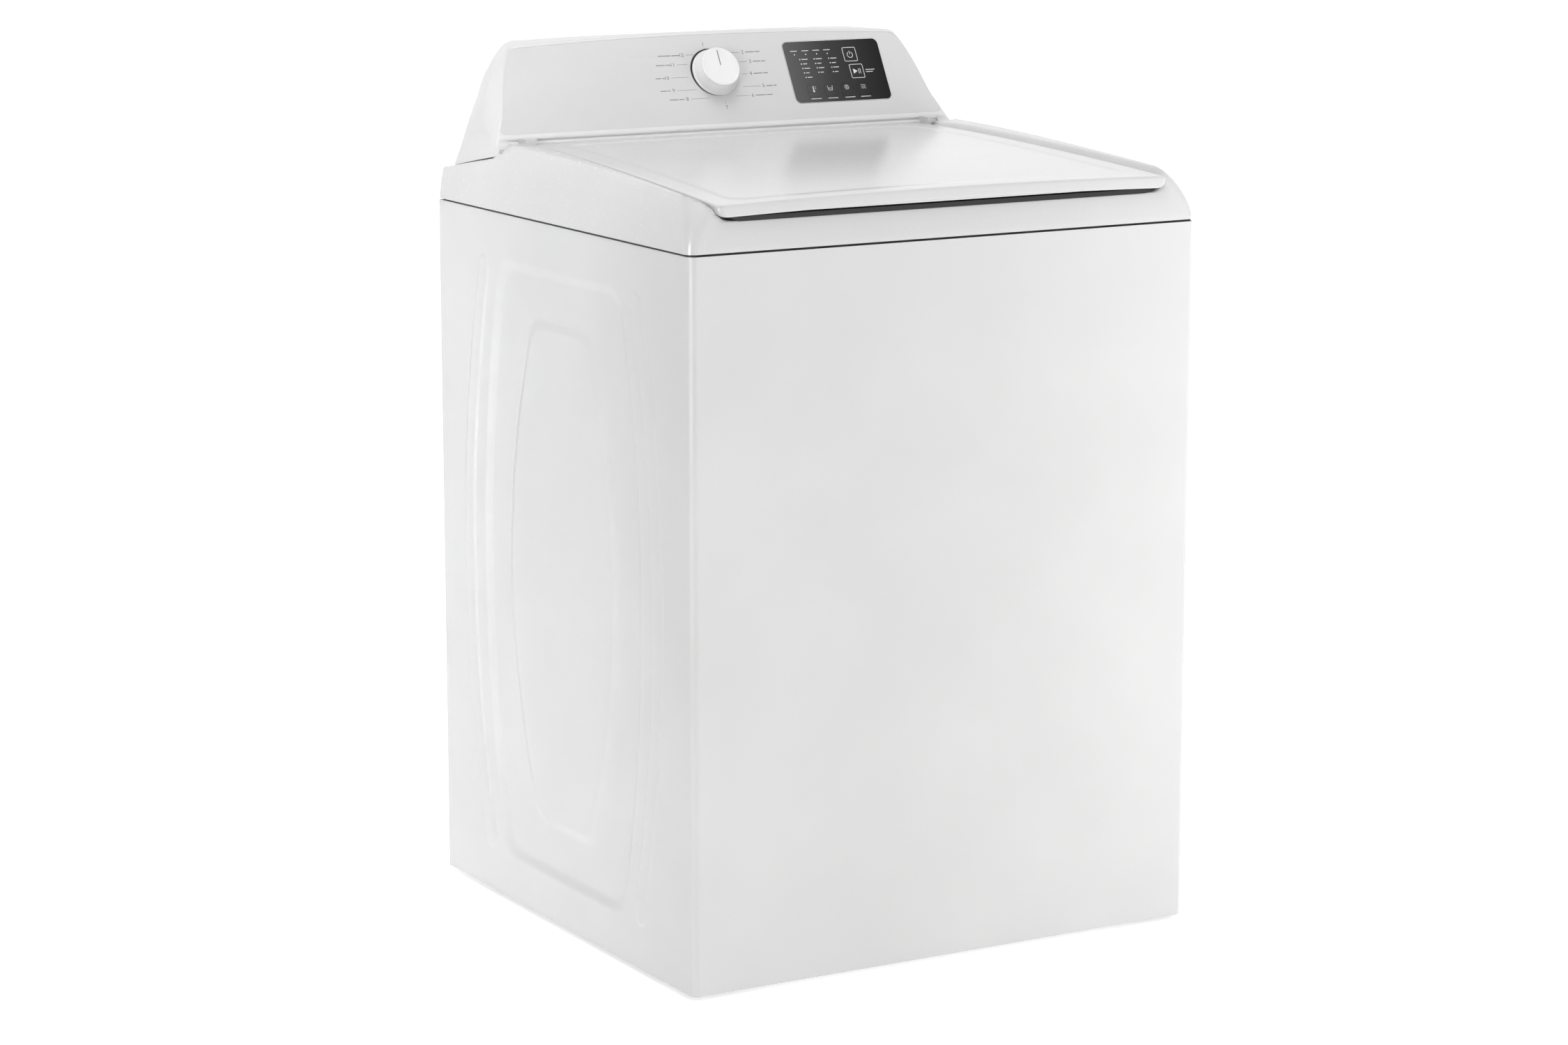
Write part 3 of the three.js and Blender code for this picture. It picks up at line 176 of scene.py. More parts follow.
def shader(name, roughness, metallic=0.0, coat=0.0, coat_roughness=0.05, ior=1.5):
    """A new material, its node tree and its shader."""
    material = bpy.data.materials.new(name)
    material.use_nodes = True
    tree = material.node_tree
    bsdf = tree.nodes["Principled BSDF"]
    feed(
        tree, bsdf, Roughness=roughness, Metallic=metallic, Coat_Weight=coat,
        Coat_Roughness=coat_roughness, IOR=ior,
    )
    return material, tree, bsdf


def noise(tree, scale, stretch=(1, 1, 1), detail=3.0):
    """Noise over the object, in metres, drawn out by stretch."""
    where = add(tree, "TexCoord")
    mapping = add(tree, "Mapping", Scale=stretch, Vector=where.outputs["Object"])
    texture = add(tree, "TexNoise", Scale=scale, Detail=detail, Vector=mapping.outputs["Vector"])
    return texture.outputs["Fac"]


def ramp(tree, factor, stops):
    """Colours along a factor. A stop is (position, grey or colour)."""
    node = tree.nodes.new("ShaderNodeValToRGB")
    while len(node.color_ramp.elements) < len(stops):
        node.color_ramp.elements.new(0.5)
    for element, (position, colour) in zip(node.color_ramp.elements, stops):
        element.position = position
        rgb = (colour,) * 3 if isinstance(colour, (int, float)) else colour
        element.color = (*rgb, 1)
    tree.links.new(factor, node.inputs["Fac"])
    return node.outputs["Color"]


def tinted(colour, share):
    """A colour made darker or lighter."""
    return tuple(min(1.0, c * share) for c in colour)


def finish(
    name, colour, roughness, grain=600, relief=0.00002, strength=0.25, stretch=(1, 1, 1),
    vary=0.02, patch=6, rough_vary=0.04, **settings,
):
    """A finish with a fine grain in relief, and a slow change of colour and gloss."""
    material, tree, bsdf = shader(name, roughness, **settings)
    slow = noise(tree, patch, detail=2)
    stops = [(0.3, tinted(colour, 1 - vary)), (0.7, tinted(colour, 1 + vary))]
    tint = ramp(tree, slow, stops)
    fine = noise(tree, grain, stretch)
    spread = add(
        tree, "MapRange", To_Min=roughness - rough_vary, To_Max=roughness + rough_vary, Value=fine,
    )
    bump = add(tree, "Bump", Strength=strength, Distance=relief, Height=fine)
    feed(
        tree, bsdf, Base_Color=tint, Roughness=spread.outputs["Result"],
        Normal=bump.outputs["Normal"],
    )
    return material


WHITE = (0.54, 0.54, 0.539)
CABINET = finish("cabinet_paint", (0.545, 0.545, 0.544), 0.36, grain=420, strength=0.15, ior=1.3)
TOP = finish("top_enamel", WHITE, 0.26, grain=300, strength=0.1, ior=1.42)
LID = finish("lid_enamel", WHITE, 0.21, grain=300, strength=0.05, ior=1.36)
FRAME = finish("console_plastic", (0.555, 0.555, 0.555), 0.34, grain=900, strength=0.3)
FASCIA = finish("fascia_film", (0.50, 0.50, 0.502), 0.30, grain=1200, strength=0.15)
KNOB = finish("knob_plastic", (0.64, 0.64, 0.64), 0.30, grain=900, strength=0.2)
LINER = finish("inner_plastic", (0.60, 0.60, 0.593), 0.42, grain=700, strength=0.35)
TUB = finish("tub_plastic", (0.45, 0.46, 0.47), 0.5, grain=250, strength=0.5, vary=0.06)
BLACK = finish("black_plastic", (0.02, 0.02, 0.021), 0.45, grain=900, strength=0.4)
RUBBER = finish("rubber", (0.016, 0.016, 0.016), 0.75, grain=500, strength=0.5)
BUMPER = finish("bumper_rubber", (0.03, 0.03, 0.03), 0.65, grain=500, strength=0.4)
PRINT = finish("grey_print", (0.16, 0.16, 0.165), 0.5, grain=1500, strength=0.1)
PALE_PRINT = finish("pale_print", (0.55, 0.56, 0.57), 0.5, grain=1500, strength=0.1)
LIP = finish("pale_edge", (0.72, 0.72, 0.72), 0.35, grain=900, strength=0.2)
STAINLESS = finish(
    "brushed_stainless", (0.60, 0.60, 0.59), 0.26, grain=90, stretch=(1, 1, 30),
    relief=0.00003, strength=0.35, vary=0.04, metallic=1.0,
)
ZINC = finish(
    "zinc_sheet", (0.62, 0.63, 0.64), 0.38, grain=60, relief=0.00002, vary=0.06,
    patch=45, metallic=1.0,
)
CAST = finish(
    "cast_metal", (0.42, 0.42, 0.42), 0.5, grain=260, relief=0.0001, strength=0.6,
    vary=0.1, patch=20, metallic=0.9,
)
BOARD = finish(
    "circuit_board", (0.03, 0.12, 0.05), 0.4, grain=220, stretch=(1, 6, 1), vary=0.25,
    patch=180, relief=0.00003,
)


def smoked_glass(name):
    """Dark panel behind gloss, with a painted reflection that makes it lighter towards its left end."""
    material, tree, bsdf = shader(name, 0.28, ior=1.33)
    low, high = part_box("control_panel")
    parts = add(tree, "SeparateXYZ", Vector=add(tree, "TexCoord").outputs["Object"])
    span = add(tree, "MapRange", From_Min=low.x, From_Max=high.x, Value=parts.outputs["X"])
    # Painted reflection: the panel's colour runs from lighter at its left end to darker at its right,
    # along X.
    shade = ramp(tree, span.outputs["Result"], [(0.0, 0.085), (0.45, 0.035), (1.0, 0.008)])
    fleck = ramp(tree, noise(tree, 1800, detail=1), [(0.35, 0.92), (0.65, 1.0)])
    mix = tree.nodes.new("ShaderNodeMix")
    mix.data_type = "RGBA"
    mix.blend_type = "MULTIPLY"
    mix.inputs["Factor"].default_value = 1.0
    tree.links.new(shade, mix.inputs["A"])
    tree.links.new(fleck, mix.inputs["B"])
    feed(tree, bsdf, Base_Color=mix.outputs["Result"])
    return material


PANEL = smoked_glass("panel_glass")


# ---- Mesh tools ----


def new_piece(name, mesh, material):
    """An object in the scene, with one material."""
    piece = bpy.data.objects.new(name, mesh)
    bpy.context.scene.collection.objects.link(piece)
    mesh.materials.append(material)
    return piece


def as_mesh(name, bm):
    """Turns a bmesh into a mesh and frees it."""
    mesh = bpy.data.meshes.new(name)
    bm.to_mesh(mesh)
    bm.free()
    return mesh


def wall(bm, first, second, closed=True):
    """Faces between two rows of corners."""
    count = len(first)
    for i in range(count if closed else count - 1):
        j = (i + 1) % count
        bm.faces.new((first[i], first[j], second[j], second[i]))


def fill(bm, borders):
    """Flat faces between a closed outline and the closed outlines inside it."""
    edges = []
    for row in borders:
        for pair in zip(row, row[1:] + row[:1]):
            edges.append(bm.edges.get(pair) or bm.edges.new(pair))
    bmesh.ops.triangle_fill(bm, use_beauty=True, use_dissolve=False, edges=edges)


def slab(bm, outline, low, high, place):
    """A closed body: an outline in a plane, between two distances along its normal."""
    rows = [
        [bm.verts.new(Vector(place(u, v, h)) * MM) for u, v in outline] for h in (low, high)
    ]
    wall(bm, *rows)
    bm.faces.new(rows[0][::-1])
    bm.faces.new(rows[1])


def skin(name, rings, material, closed=True, caps=(False, False), angle=32.0):
    """A surface through rings of equal point counts, in millimetres."""
    bm = bmesh.new()
    rows = [[bm.verts.new(Vector(p) * MM) for p in ring] for ring in rings]
    for below, above in zip(rows, rows[1:]):
        wall(bm, below, above, closed)
    for row, capped in ((rows[0], caps[0]), (rows[-1], caps[1])):
        if capped:
            hub = bm.verts.new(sum((v.co for v in row), Vector()) / len(row))
            for pair in zip(row, row[1:] + row[:1]):
                bm.faces.new((*pair, hub))
    return settle(name, bm, material, angle)


def settle(name, bm, material, angle=32.0):
    """Cleans a bmesh and makes it an object with smooth shading and crisp edges."""
    bmesh.ops.remove_doubles(bm, verts=bm.verts, dist=0.00002)
    bmesh.ops.dissolve_degenerate(bm, edges=bm.edges, dist=0.00001)
    bmesh.ops.recalc_face_normals(bm, faces=bm.faces)
    mesh = as_mesh(name, bm)
    mesh.shade_smooth()
    mesh.set_sharp_from_angle(angle=math.radians(angle))
    return new_piece(name, mesh, material)


def attach(piece, body, slot, *nodes):
    """Says which body carries a piece and hides the CAD nodes it stands for. The slot is not used."""
    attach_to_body(piece, body)
    if nodes:
        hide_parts(*nodes)
    return piece


def baked(piece):
    """Replaces the piece's mesh by what its modifiers make of it."""
    bpy.context.view_layer.update()
    made = piece.evaluated_get(bpy.context.evaluated_depsgraph_get())
    mesh = bpy.data.meshes.new_from_object(made)
    piece.modifiers.clear()
    piece.data = mesh
    return piece


def thicken(piece, depth):
    """Gives a surface a wall, on its inner side."""
    wall = piece.modifiers.new("wall", "SOLIDIFY")
    wall.thickness = depth * MM
    wall.offset = -1
    return baked(piece)


def cut(piece, tools, angle=32.0):
    """Cuts closed bodies out of a closed piece, and removes them."""
    for tool in tools:
        step = piece.modifiers.new("cut", "BOOLEAN")
        step.operation = "DIFFERENCE"
        step.solver = "EXACT"
        step.object = tool
        baked(piece)
        bpy.data.objects.remove(tool)
    piece.data.shade_smooth()
    piece.data.set_sharp_from_angle(angle=math.radians(angle))
    return piece


def soften(piece, width, segments=2, angle=35.0):
    """Rounds the sharp edges and evens the shading of the flats."""
    round_off = piece.modifiers.new("edges", "BEVEL")
    round_off.width = width * MM
    round_off.segments = segments
    round_off.limit_method = "ANGLE"
    round_off.angle_limit = math.radians(angle)
    round_off.harden_normals = True
    return piece


def level_shading(piece):
    """Flat areas keep their own direction up to their edges."""
    even = piece.modifiers.new("even", "WEIGHTED_NORMAL")
    even.keep_sharp = True
    even.mode = "FACE_AREA"
    return piece


def arc(cx, cy, r, start, end, steps):
    """Points round part of a circle, with angles in degrees."""
    points = []
    for i in range(steps + 1):
        turn = math.radians(start + (end - start) * i / steps)
        points.append((cx + r * math.cos(turn), cy + r * math.sin(turn)))
    return points


def rounded_rect(x0, x1, y0, y1, r, steps=5):
    return (
        arc(x1 - r, y0 + r, r, -90, 0, steps)
        + arc(x1 - r, y1 - r, r, 0, 90, steps)
        + arc(x0 + r, y1 - r, r, 90, 180, steps)
        + arc(x0 + r, y0 + r, r, 180, 270, steps)
    )


def upright(x, y, z):
    """A place function for outlines that lie level."""
    return x, y, z


def prism(name, outline, low, high, place, material):
    """As slab, but a piece of its own, whose ends are fans of triangles."""
    rings = [[place(u, v, h) for u, v in outline] for h in (low, high)]
    return skin(name, rings, material, caps=(True, True), angle=30)


def about_tub(r, turn):
    """A plan point at a radius and an angle from the tub's axis."""
    return r * math.cos(turn), TUB_Y + r * math.sin(turn)


def turned(name, profile, material, segments=96, place=None, angle=32.0):
    """A (radius, height) profile turned about the tub's axis, or about one on the face.

    A profile that doesn't start on the axis is closed.
    """
    if profile[0][0]:
        profile = profile + profile[:1]
    rings = []
    for i in range(segments):
        turn = 2 * math.pi * i / segments
        if place:
            c, s = math.cos(turn), math.sin(turn)
            rings.append([place(r * c, r * s, z) for r, z in profile])
        else:
            rings.append([(*about_tub(r, turn), z) for r, z in profile])
    return skin(name, rings + rings[:1], material, closed=False, angle=angle)


def plate(name, outline, holes, low, high, round_r, material):
    """A flat plate with holes on the console's face, whose front edges are rounded."""
    bm = bmesh.new()

    def loop(points, h):
        return [bm.verts.new(on_face(u, v, h) * MM) for u, v in points]

    fronts = []
    steps = 3
    for points, sign in [(outline, 1)] + [(hole, -1) for hole in holes]:
        rows = [loop(points, low)]
        for i in range(steps + 1):
            turn = math.pi / 2 * i / steps
            drawn_in = offset_loop(points, sign * round_r * (1 - math.cos(turn)))
            rows.append(loop(drawn_in, high - round_r * (1 - math.sin(turn))))
        for first, second in zip(rows, rows[1:]):
            wall(bm, first, second)
        fronts.append(rows[-1])
    fill(bm, fronts)
    return level_shading(settle(name, bm, material, angle=50))


def offset_loop(points, depth):
    """Moves a closed plane outline inwards by depth, or outwards where it is negative."""
    if not depth:
        return list(points)
    count = len(points)
    area = 0.0
    for i in range(count):
        (x0, y0), (x1, y1) = points[i], points[(i + 1) % count]
        area += x0 * y1 - x1 * y0
    side = 1 if area > 0 else -1
    moved = []
    for i in range(count):
        before = Vector(points[i - 1])
        here = Vector(points[i])
        after = Vector(points[(i + 1) % count])
        along = (here - before).normalized() + (after - here).normalized()
        along.normalize()
        inward = Vector((-along.y, along.x)) * side
        moved.append(tuple(here + inward * depth))
    return moved


# ---- Cabinet ----

SIDE_MID_Z = 440
SEAM_SINK = 0.9
OUTER_PANEL = (158, 200, 373, 36)
INNER_PANEL = (80, 136, 309, 35)
PANEL_SINK, PANEL_RISE = 5.0, 4.2
BEAD_HALF = 15
SHEET_INSET = 1.2


def bowed(start, control, end, steps):
    """Points on a curve pulled towards a control point, without its last point."""
    points = []
    for i in range(steps):
        t = i / steps
        shares = ((1 - t) ** 2, 2 * t * (1 - t), t * t)
        points.append(tuple(
            shares[0] * a + shares[1] * c + shares[2] * b for a, c, b in zip(start, control, end)
        ))
    return points


def barrel(grow, end_half, mid_half, half_height, r):
    """A barrel outline on a side: straight ends and bowed edges."""
    end_half, mid_half, half_height = end_half + grow, mid_half + grow, half_height + grow
    bow = 2 * mid_half - end_half
    low, high = SIDE_MID_Z - half_height, SIDE_MID_Z + half_height
    out = end_half + r / 8
    half = (
        bowed((0, low), (end_half / 2, low), (end_half - r, low), 4)
        + bowed((end_half - r, low), (end_half, low), (out, low + r), 8)
        + bowed((out, low + r), (bow, SIDE_MID_Z), (out, high - r), 36)
        + bowed((out, high - r), (end_half, high), (end_half - r, high), 8)
        + bowed((end_half - r, high), (end_half / 2, high), (0, high), 4)
    )
    mirrored = [(-y, 2 * SIDE_MID_Z - z) for y, z in half]
    return half + mirrored


def bead(grow, side):
    """A bowed bead with round ends, in front of the barrel or behind it."""
    end_y, mid_y, half, half_height = 202, 250, BEAD_HALF + grow, 380 + grow
    bow = 2 * mid_y - end_y
    low, high = SIDE_MID_Z - half_height, SIDE_MID_Z + half_height
    cap = 22
    near, far = end_y - half, end_y + half
    outline = (
        bowed((near, low + cap), (near, low), (end_y, low), 5)
        + bowed((end_y, low), (far, low), (far, low + cap), 5)
        + bowed((far, low + cap), (bow + half, SIDE_MID_Z), (far, high - cap), 36)
        + bowed((far, high - cap), (far, high), (end_y, high), 5)
        + bowed((end_y, high), (near, high), (near, high - cap), 5)
        + bowed((near, high - cap), (bow - half, SIDE_MID_Z), (near, low + cap), 36)
    )
    return [(side * y, z) for y, z in outline]


def slope(outline, grows, depth, change, steps=10):
    """Loops of one outline down or up an eased slope: its edge, then the slope itself."""
    edge, start, end = grows
    loops = [(outline(edge), depth)]
    for i in range(steps + 1):
        t = i / steps
        loops.append((outline(start + (end - start) * t), depth + change * smooth(t)))
    return loops


def embossing():
    """Each raised or sunk shape on a side, as (outline, depth) loops from its edge in."""
    def outer(grow):
        return barrel(grow, *OUTER_PANEL)

    def inner(grow):
        return barrel(grow, *INNER_PANEL)

    shapes = [
        slope(outer, (11, 8, -8), 0.0, -PANEL_SINK)
        + slope(inner, (10, 8, -6), -PANEL_SINK, PANEL_RISE)
        + [(inner(-8), PANEL_RISE - PANEL_SINK)]
    ]
    for side in (-1, 1):
        def line(grow, side=side):
            return bead(grow, side)

        shapes.append(slope(line, (3, 2, -5), 0.0, BEAD_HEIGHT) + [(line(-7), BEAD_HEIGHT)])
    return shapes


def side_sheet(bm, side, ends, heights):
    """One side of the cabinet, with its raised and sunk shapes."""
    def at(y, z, depth):
        return bm.verts.new(Vector((side * (SHEET_X + depth), y, z)) * MM)

    (front, rear), (bottom, top) = ends, heights
    corners = ((front, bottom), (rear, bottom), (rear, top), (front, top))
    borders = [[at(y, z, 0) for y, z in corners]]
    for loops in embossing():
        rows = [[at(y, z, depth) for y, z in outline] for outline, depth in loops]
        for first, second in zip(rows, rows[1:]):
            wall(bm, first, second)
        borders.append(rows[0])
        bm.faces.new(rows[-1])
    fill(bm, borders)


def cabinet_skin():
    """The painted wrapper: a front and two sides in one sheet, folded in at the rear."""
    bm = bmesh.new()
    heights = (CABINET_LOW.z, CABINET_HIGH.z - SEAM_SINK)
    corner_r, rear_r, fold = 10, 3, 20
    for side in (-1, 1):
        side_sheet(bm, side, (-HALF_DEPTH + corner_r, HALF_DEPTH - rear_r), heights)

    front = arc(SHEET_X - corner_r, -HALF_DEPTH + corner_r, corner_r, -90, 0, 8)
    rear = arc(SHEET_X - rear_r, HALF_DEPTH - rear_r, rear_r, 0, 90, 4)
    rear.append((SHEET_X - fold, HALF_DEPTH))
    for run in ([(-x, y) for x, y in reversed(front)] + front, rear, [(-x, y) for x, y in rear]):
        rows = [[bm.verts.new(Vector((x, y, z)) * MM) for x, y in run] for z in heights]
        wall(bm, *rows, closed=False)
    piece = settle("cabinet_skin", bm, CABINET, angle=40)
    level_shading(thicken(piece, 1.0))
    attach(piece, "cabinet", "cabinet_white", "cabinet_wrapper")


def top_edges():
    """The folded front edge and the corner plates that the rods hang from."""
    bm = bmesh.new()
    top = CABINET_HIGH.z - SEAM_SINK
    front, hem, hem_half = -HALF_DEPTH + SHEET_INSET, 15, 337
    outline = [(-hem_half, front), (hem_half, front), (hem_half, front + hem), (-hem_half, front + hem)]
    slab(bm, outline, top - 1.4, top - 0.2, upright)
    leg, tip, low, thick, rear_inset = 150, 10, 855, 3, 6.4
    x = SHEET_X - SHEET_INSET
    for side_x, side_y in CORNERS:
        y = HALF_DEPTH - (SHEET_INSET if side_y < 0 else rear_inset)
        outline = [(x - tip, y), (x - leg, y), (x, y - leg), (x, y - tip)]
        slab(bm, [(side_x * u, side_y * v) for u, v in outline], low, low + thick, upright)
    piece = settle("cabinet_flanges", bm, ZINC)
    attach(soften(piece, 0.5), "cabinet", "zinc_steel")


def seam_gasket():
    """A black strip behind the seam between the cabinet and the top panel."""
    rings = []
    section = ((3.6, 873), (2.8, 873.6), (2.8, 879), (3.6, 880), (7, 880), (7, 873))
    for inset, z in section:
        x, front, rear = HALF_WIDTH - inset, -HALF_DEPTH + inset, HALF_DEPTH - 6.8
        rings.append([(u, v, z) for u, v in rounded_rect(-x, x, front, rear, 9, 6)])
    piece = skin("seam_gasket", rings + rings[:1], RUBBER, angle=50)
    attach(piece, "cabinet", "rubber_black")


# ---- Top panel ----


def rim_z(y):
    """Height of the rim's crest, which falls towards the front."""
    return RIM_REAR_Z - RIM_DROP * max(0.0, (RIM_REAR_Y - y) / RIM_RUN) ** 1.5


def lid_half(y):
    """Half width of the lid, which narrows towards the rear."""
    t = (y - LID_FRONT_Y) / (LID_REAR_Y - LID_FRONT_Y)
    return LID_FRONT_HALF + (LID_REAR_HALF - LID_FRONT_HALF) * t


def lid_top(y):
    """Height of the lid's side edge."""
    return rim_z(y) - LID_BELOW_RIM


def slot_z(y):
    """The line on which the console's ends stand over the top panel."""
    bend_y, bend_z = SLOT_BEND
    if y < bend_y:
        return SLOT_TOP - (y - SLOT_Y) * 4 / 6
    return bend_z - SLOT_FALL * (y - bend_y)


POCKET_WALL = through([
    (-22, 0), (-14, 0.5), (-8.5, 3.6), (-3, 9.6), (2, 15.6), (6, 19), (11, 21.8), (18, 23.6),
    (30, 26),
])


def pocket_z(x, y):
    """Floor and side walls of the space that the lid lies in."""
    return lid_top(y) - LID_THICK - FINGER_GAP + POCKET_WALL(abs(x) - lid_half(y) - POCKET_SIDE)


def lower_of(a, b, radius=0.45):
    """The lower of two heights, with a small radius where they meet."""
    if abs(a - b) > 12 * radius:
        return min(a, b)
    low = min(a, b)
    return low - radius * math.log(math.exp((low - a) / radius) + math.exp((low - b) / radius))


SIDE_STOPS = [
    -306, -303, -300, -297, -293, -288, -280, -268, -250, -225, -190, -150, -100, -50, 0, 50,
    95, 130, 150, 165, 175, 182, 185, 185.8, 186.1, 188, 190, 192, 194, 196, 198, 203, 212,
    230, 255, 280, 300,
]
OUTER_SPAN = (-307.15, 301)


def crowded(i, count):
    """Places from -1 to 1 that lie closer together near both ends."""
    g = 2 * i / count - 1
    return g * (3 - g * g) / 2


def plan_loop(half, front, rear, radii, counts, sides):
    """Points round a plan outline with round corners, from its front left corner."""
    (r_front, r_rear), (n_front, n_rear, n_front_arc, n_rear_arc) = radii, counts
    reach, back = half(front) - r_front, half(rear) - r_rear
    points = [(reach * crowded(i, n_front), front) for i in range(n_front)]
    points += arc(reach, front + r_front, r_front, -90, 0, n_front_arc)
    points += [(half(y), y) for y in sides]
    points += arc(back, rear - r_rear, r_rear, 0, 90, n_rear_arc)
    points += [(back * (1 - 2 * i / n_rear), rear) for i in range(1, n_rear)]
    points += arc(-back, rear - r_rear, r_rear, 90, 180, n_rear_arc)
    points += [(-half(y), y) for y in reversed(sides)]
    points += arc(-reach, front + r_front, r_front, 180, 270, n_front_arc)[:-1]
    return points


def around(half, front, rear, r_front, r_rear):
    """A plan outline in step with every other such outline of the top panel."""
    low, high = front + r_front, rear - r_rear
    start, end = OUTER_SPAN
    sides = [low + (high - low) * ((stop - start) / (end - start)) for stop in SIDE_STOPS]
    half_at = half if callable(half) else (lambda y: half)
    return plan_loop(half_at, front, rear, (r_front, r_rear), (44, 12, 8, 5), sides)


def surface_z(x, y, hill):
    """A hill's height, cut down by the lid's pocket and by the console's slot."""
    z = hill
    if y < POCKET_REAR_Y:
        z = lower_of(z, pocket_z(x, y))
    if y > SLOT_Y:
        z = min(z, slot_z(y))
    return z


def draped(plan, drop=0):
    """A plan outline laid on the rim, the pocket and the slot."""
    return [Vector((x, y, surface_z(x, y, rim_z(y)) - drop)) for x, y in plan]


def rim_slope_rings(edge, lean_all):
    """Rings up the outer slope of the top panel, from the seam to the rim's crest."""
    rings = []
    for g in (
        0, 0.05, 0.12, 0.2, 0.3, 0.4, 0.47, 0.52, 0.55, 0.565, 0.58, 0.6, 0.64, 0.7, 0.78,
        0.85, 0.91, 0.95, 0.98, 0.995, 1,
    ):
        lean = lean_all * (0.45 * g**1.4 + 0.55 * (1 - math.sqrt(1 - g * g)))
        inset = edge + lean
        plan = around(HALF_WIDTH - inset, -HALF_DEPTH + inset, 325, 12 + 1.1 * lean, 4)
        rings.append([
            Vector((x, y, surface_z(x, y, SEAM_Z + (rim_z(y) - SEAM_Z) * g))) for x, y in plan
        ])
    tuck = [Vector((v.x * 0.9955, v.y * 0.9955, v.z)) for v in rings[0]]
    return [tuck] + rings


def opening_plan(grow):
    """The outline of the opening under the lid, grown outwards."""
    o = OPENING
    r = o["r"] + grow
    return around(o["half"] + grow, o["front"] - grow, o["rear"] + grow, r, r)


def top_rings():
    """Rings of the top panel from the seam over the rim and the pocket into the opening."""
    edge, lean_all = 1.5, 24
    rings = rim_slope_rings(edge, lean_all)
    crest = HALF_WIDTH - edge - lean_all
    side_steps = [16, 13, 11, 9, 7, 5, 3, 1, -1, -3, -5, -7, -9, -12, -15, -20]
    for k, step in enumerate(side_steps):
        front = -HALF_DEPTH + edge + lean_all + 1.2 * (k + 1)
        rear_y = 300 - 102.5 * min(1, k / 8) - 5 * max(0, k - 8) / 7

        def half(y, k=k, step=step):
            return min(crest - 0.6 * (k + 1), lid_half(y) + POCKET_SIDE + step)

        rings.append(draped(around(half, front, rear_y, 20, 8)))

    last, near = rings[-1], draped(opening_plan(5))
    for t in (0.2, 0.4, 0.6, 0.8):
        rings.append(draped([a.lerp(b, t).xy for a, b in zip(last, near)]))
    for grow, drop in ((5, 0), (3, 0), (1.8, 0.25), (0.8, 1.0), (0.2, 2.0), (0, 3.2)):
        rings.append(draped(opening_plan(grow), drop))
    rings.append([Vector((v.x, v.y, SKIRT_Z)) for v in rings[-1]])
    return rings


def tool(outline, z0, z1):
    """A closed body that cuts a hole in the top panel."""
    return prism("tool", outline, z0, z1, upright, TOP)


def box_tool(x0, x1, y0, y1, z0=SEAM_Z, z1=RIM_REAR_Z):
    return tool([(x0, y0), (x1, y0), (x1, y1), (x0, y1)], z0, z1)


def top_skin():
    """The top panel, with holes for the dispenser, the lock, a hose and the hinges."""
    piece = skin("top_panel_skin", top_rings(), TOP, angle=50)
    thicken(piece, 1.2)
    cup_low, cup_high = box_mm("bleach_dispenser")
    lock_low, lock_high = box_mm("lid_lock")
    lock_x, lock_y, lock_half = (lock_low.x + lock_high.x) / 2, -296, 12
    lip = 3
    tools = [
        box_tool(cup_low.x + lip, cup_high.x - lip, cup_low.y + lip, cup_high.y - lip),
        box_tool(lock_x - lock_half, lock_x + lock_half, lock_y - lock_half, lock_y + lock_half),
        tool(arc(-180, 285, 17, 0, 352.5, 47), SEAM_Z, RIM_REAR_Z),
    ]
    for side in ("left", "right"):
        low, high = box_mm("hinge_bracket_" + side)
        tools.append(box_tool(
            low.x - 0.4, high.x + 0.4, low.y - 1, high.y + 8, low.z - 1, RIM_REAR_Z + 5,
        ))
    cut(piece, tools, angle=50)
    attach(piece, "cabinet", "top_white", "top_panel")


# ---- Lid ----


def lid_plan(side_in, front_in, r):
    """The lid's outline, drawn in at its sides and its ends."""
    front, rear = LID_FRONT_Y + front_in, LID_REAR_Y - front_in
    sides = [front + r + (rear - front - 2 * r) * i / 24 for i in range(1, 24)]

    def half(y):
        return lid_half(y) - side_in

    return plan_loop(half, front, rear, (r, r), (36, 16, 6, 4), sides)


def lid_z(x, y, drop):
    """Height of the crowned lid, or of a surface that lies lower by drop."""
    front = (LID_REAR_Y - y) / (LID_REAR_Y - LID_FRONT_Y)
    t = min(1.0, abs(x) / lid_half(y))
    return lid_top(y) + LID_CROWN * (0.25 + 0.75 * front) * (1 - t * t) - drop


def lid_skin():
    """The lid's outer skin: a turned-down edge, a raised border and a dished middle."""
    profile = [
        (13, 6, 14), (10.5, 3, 14), (8, 1.2, 13.9), (5.7, 0.3, 13.2), (3.6, 0, 12), (1.9, 0, 10.4),
        (0.6, 0, 8.3), (0, 0, 6), (0, 0, 3.3), (0.1, 0.15, 2.3), (0.35, 0.5, 1.3),
        (1.0, 1.3, 0.55), (2.1, 2.4, 0.12), (3.6, 3.9, 0), (8, 8, 0), (20, 18, 0), (27, 25, 0.05),
        (30, 28, 0.3), (33, 31, 0.75), (36, 34, 1.05), (40, 38, LID_DISH), (48, 46, LID_DISH),
    ]
    rings = []
    for side_in, front_in, drop in profile:
        r = 7 if side_in < 10 else min(24, 7 + 0.7 * (side_in - 10))
        rings.append([Vector((x, y, lid_z(x, y, drop))) for x, y in lid_plan(side_in, front_in, r)])
    last, middle = rings[-1], (LID_FRONT_Y + LID_REAR_Y) / 2
    for share in (0.84, 0.68, 0.52, 0.36, 0.2, 0.08):
        plan = [(p.x * share, middle + (p.y - middle) * share) for p in last]
        rings.append([Vector((x, y, lid_z(x, y, LID_DISH))) for x, y in plan])
    piece = skin("lid_skin", rings, LID, caps=(False, True), angle=60)
    attach(thicken(piece, 1.2), "lid", "lid_white", "lid_outer")


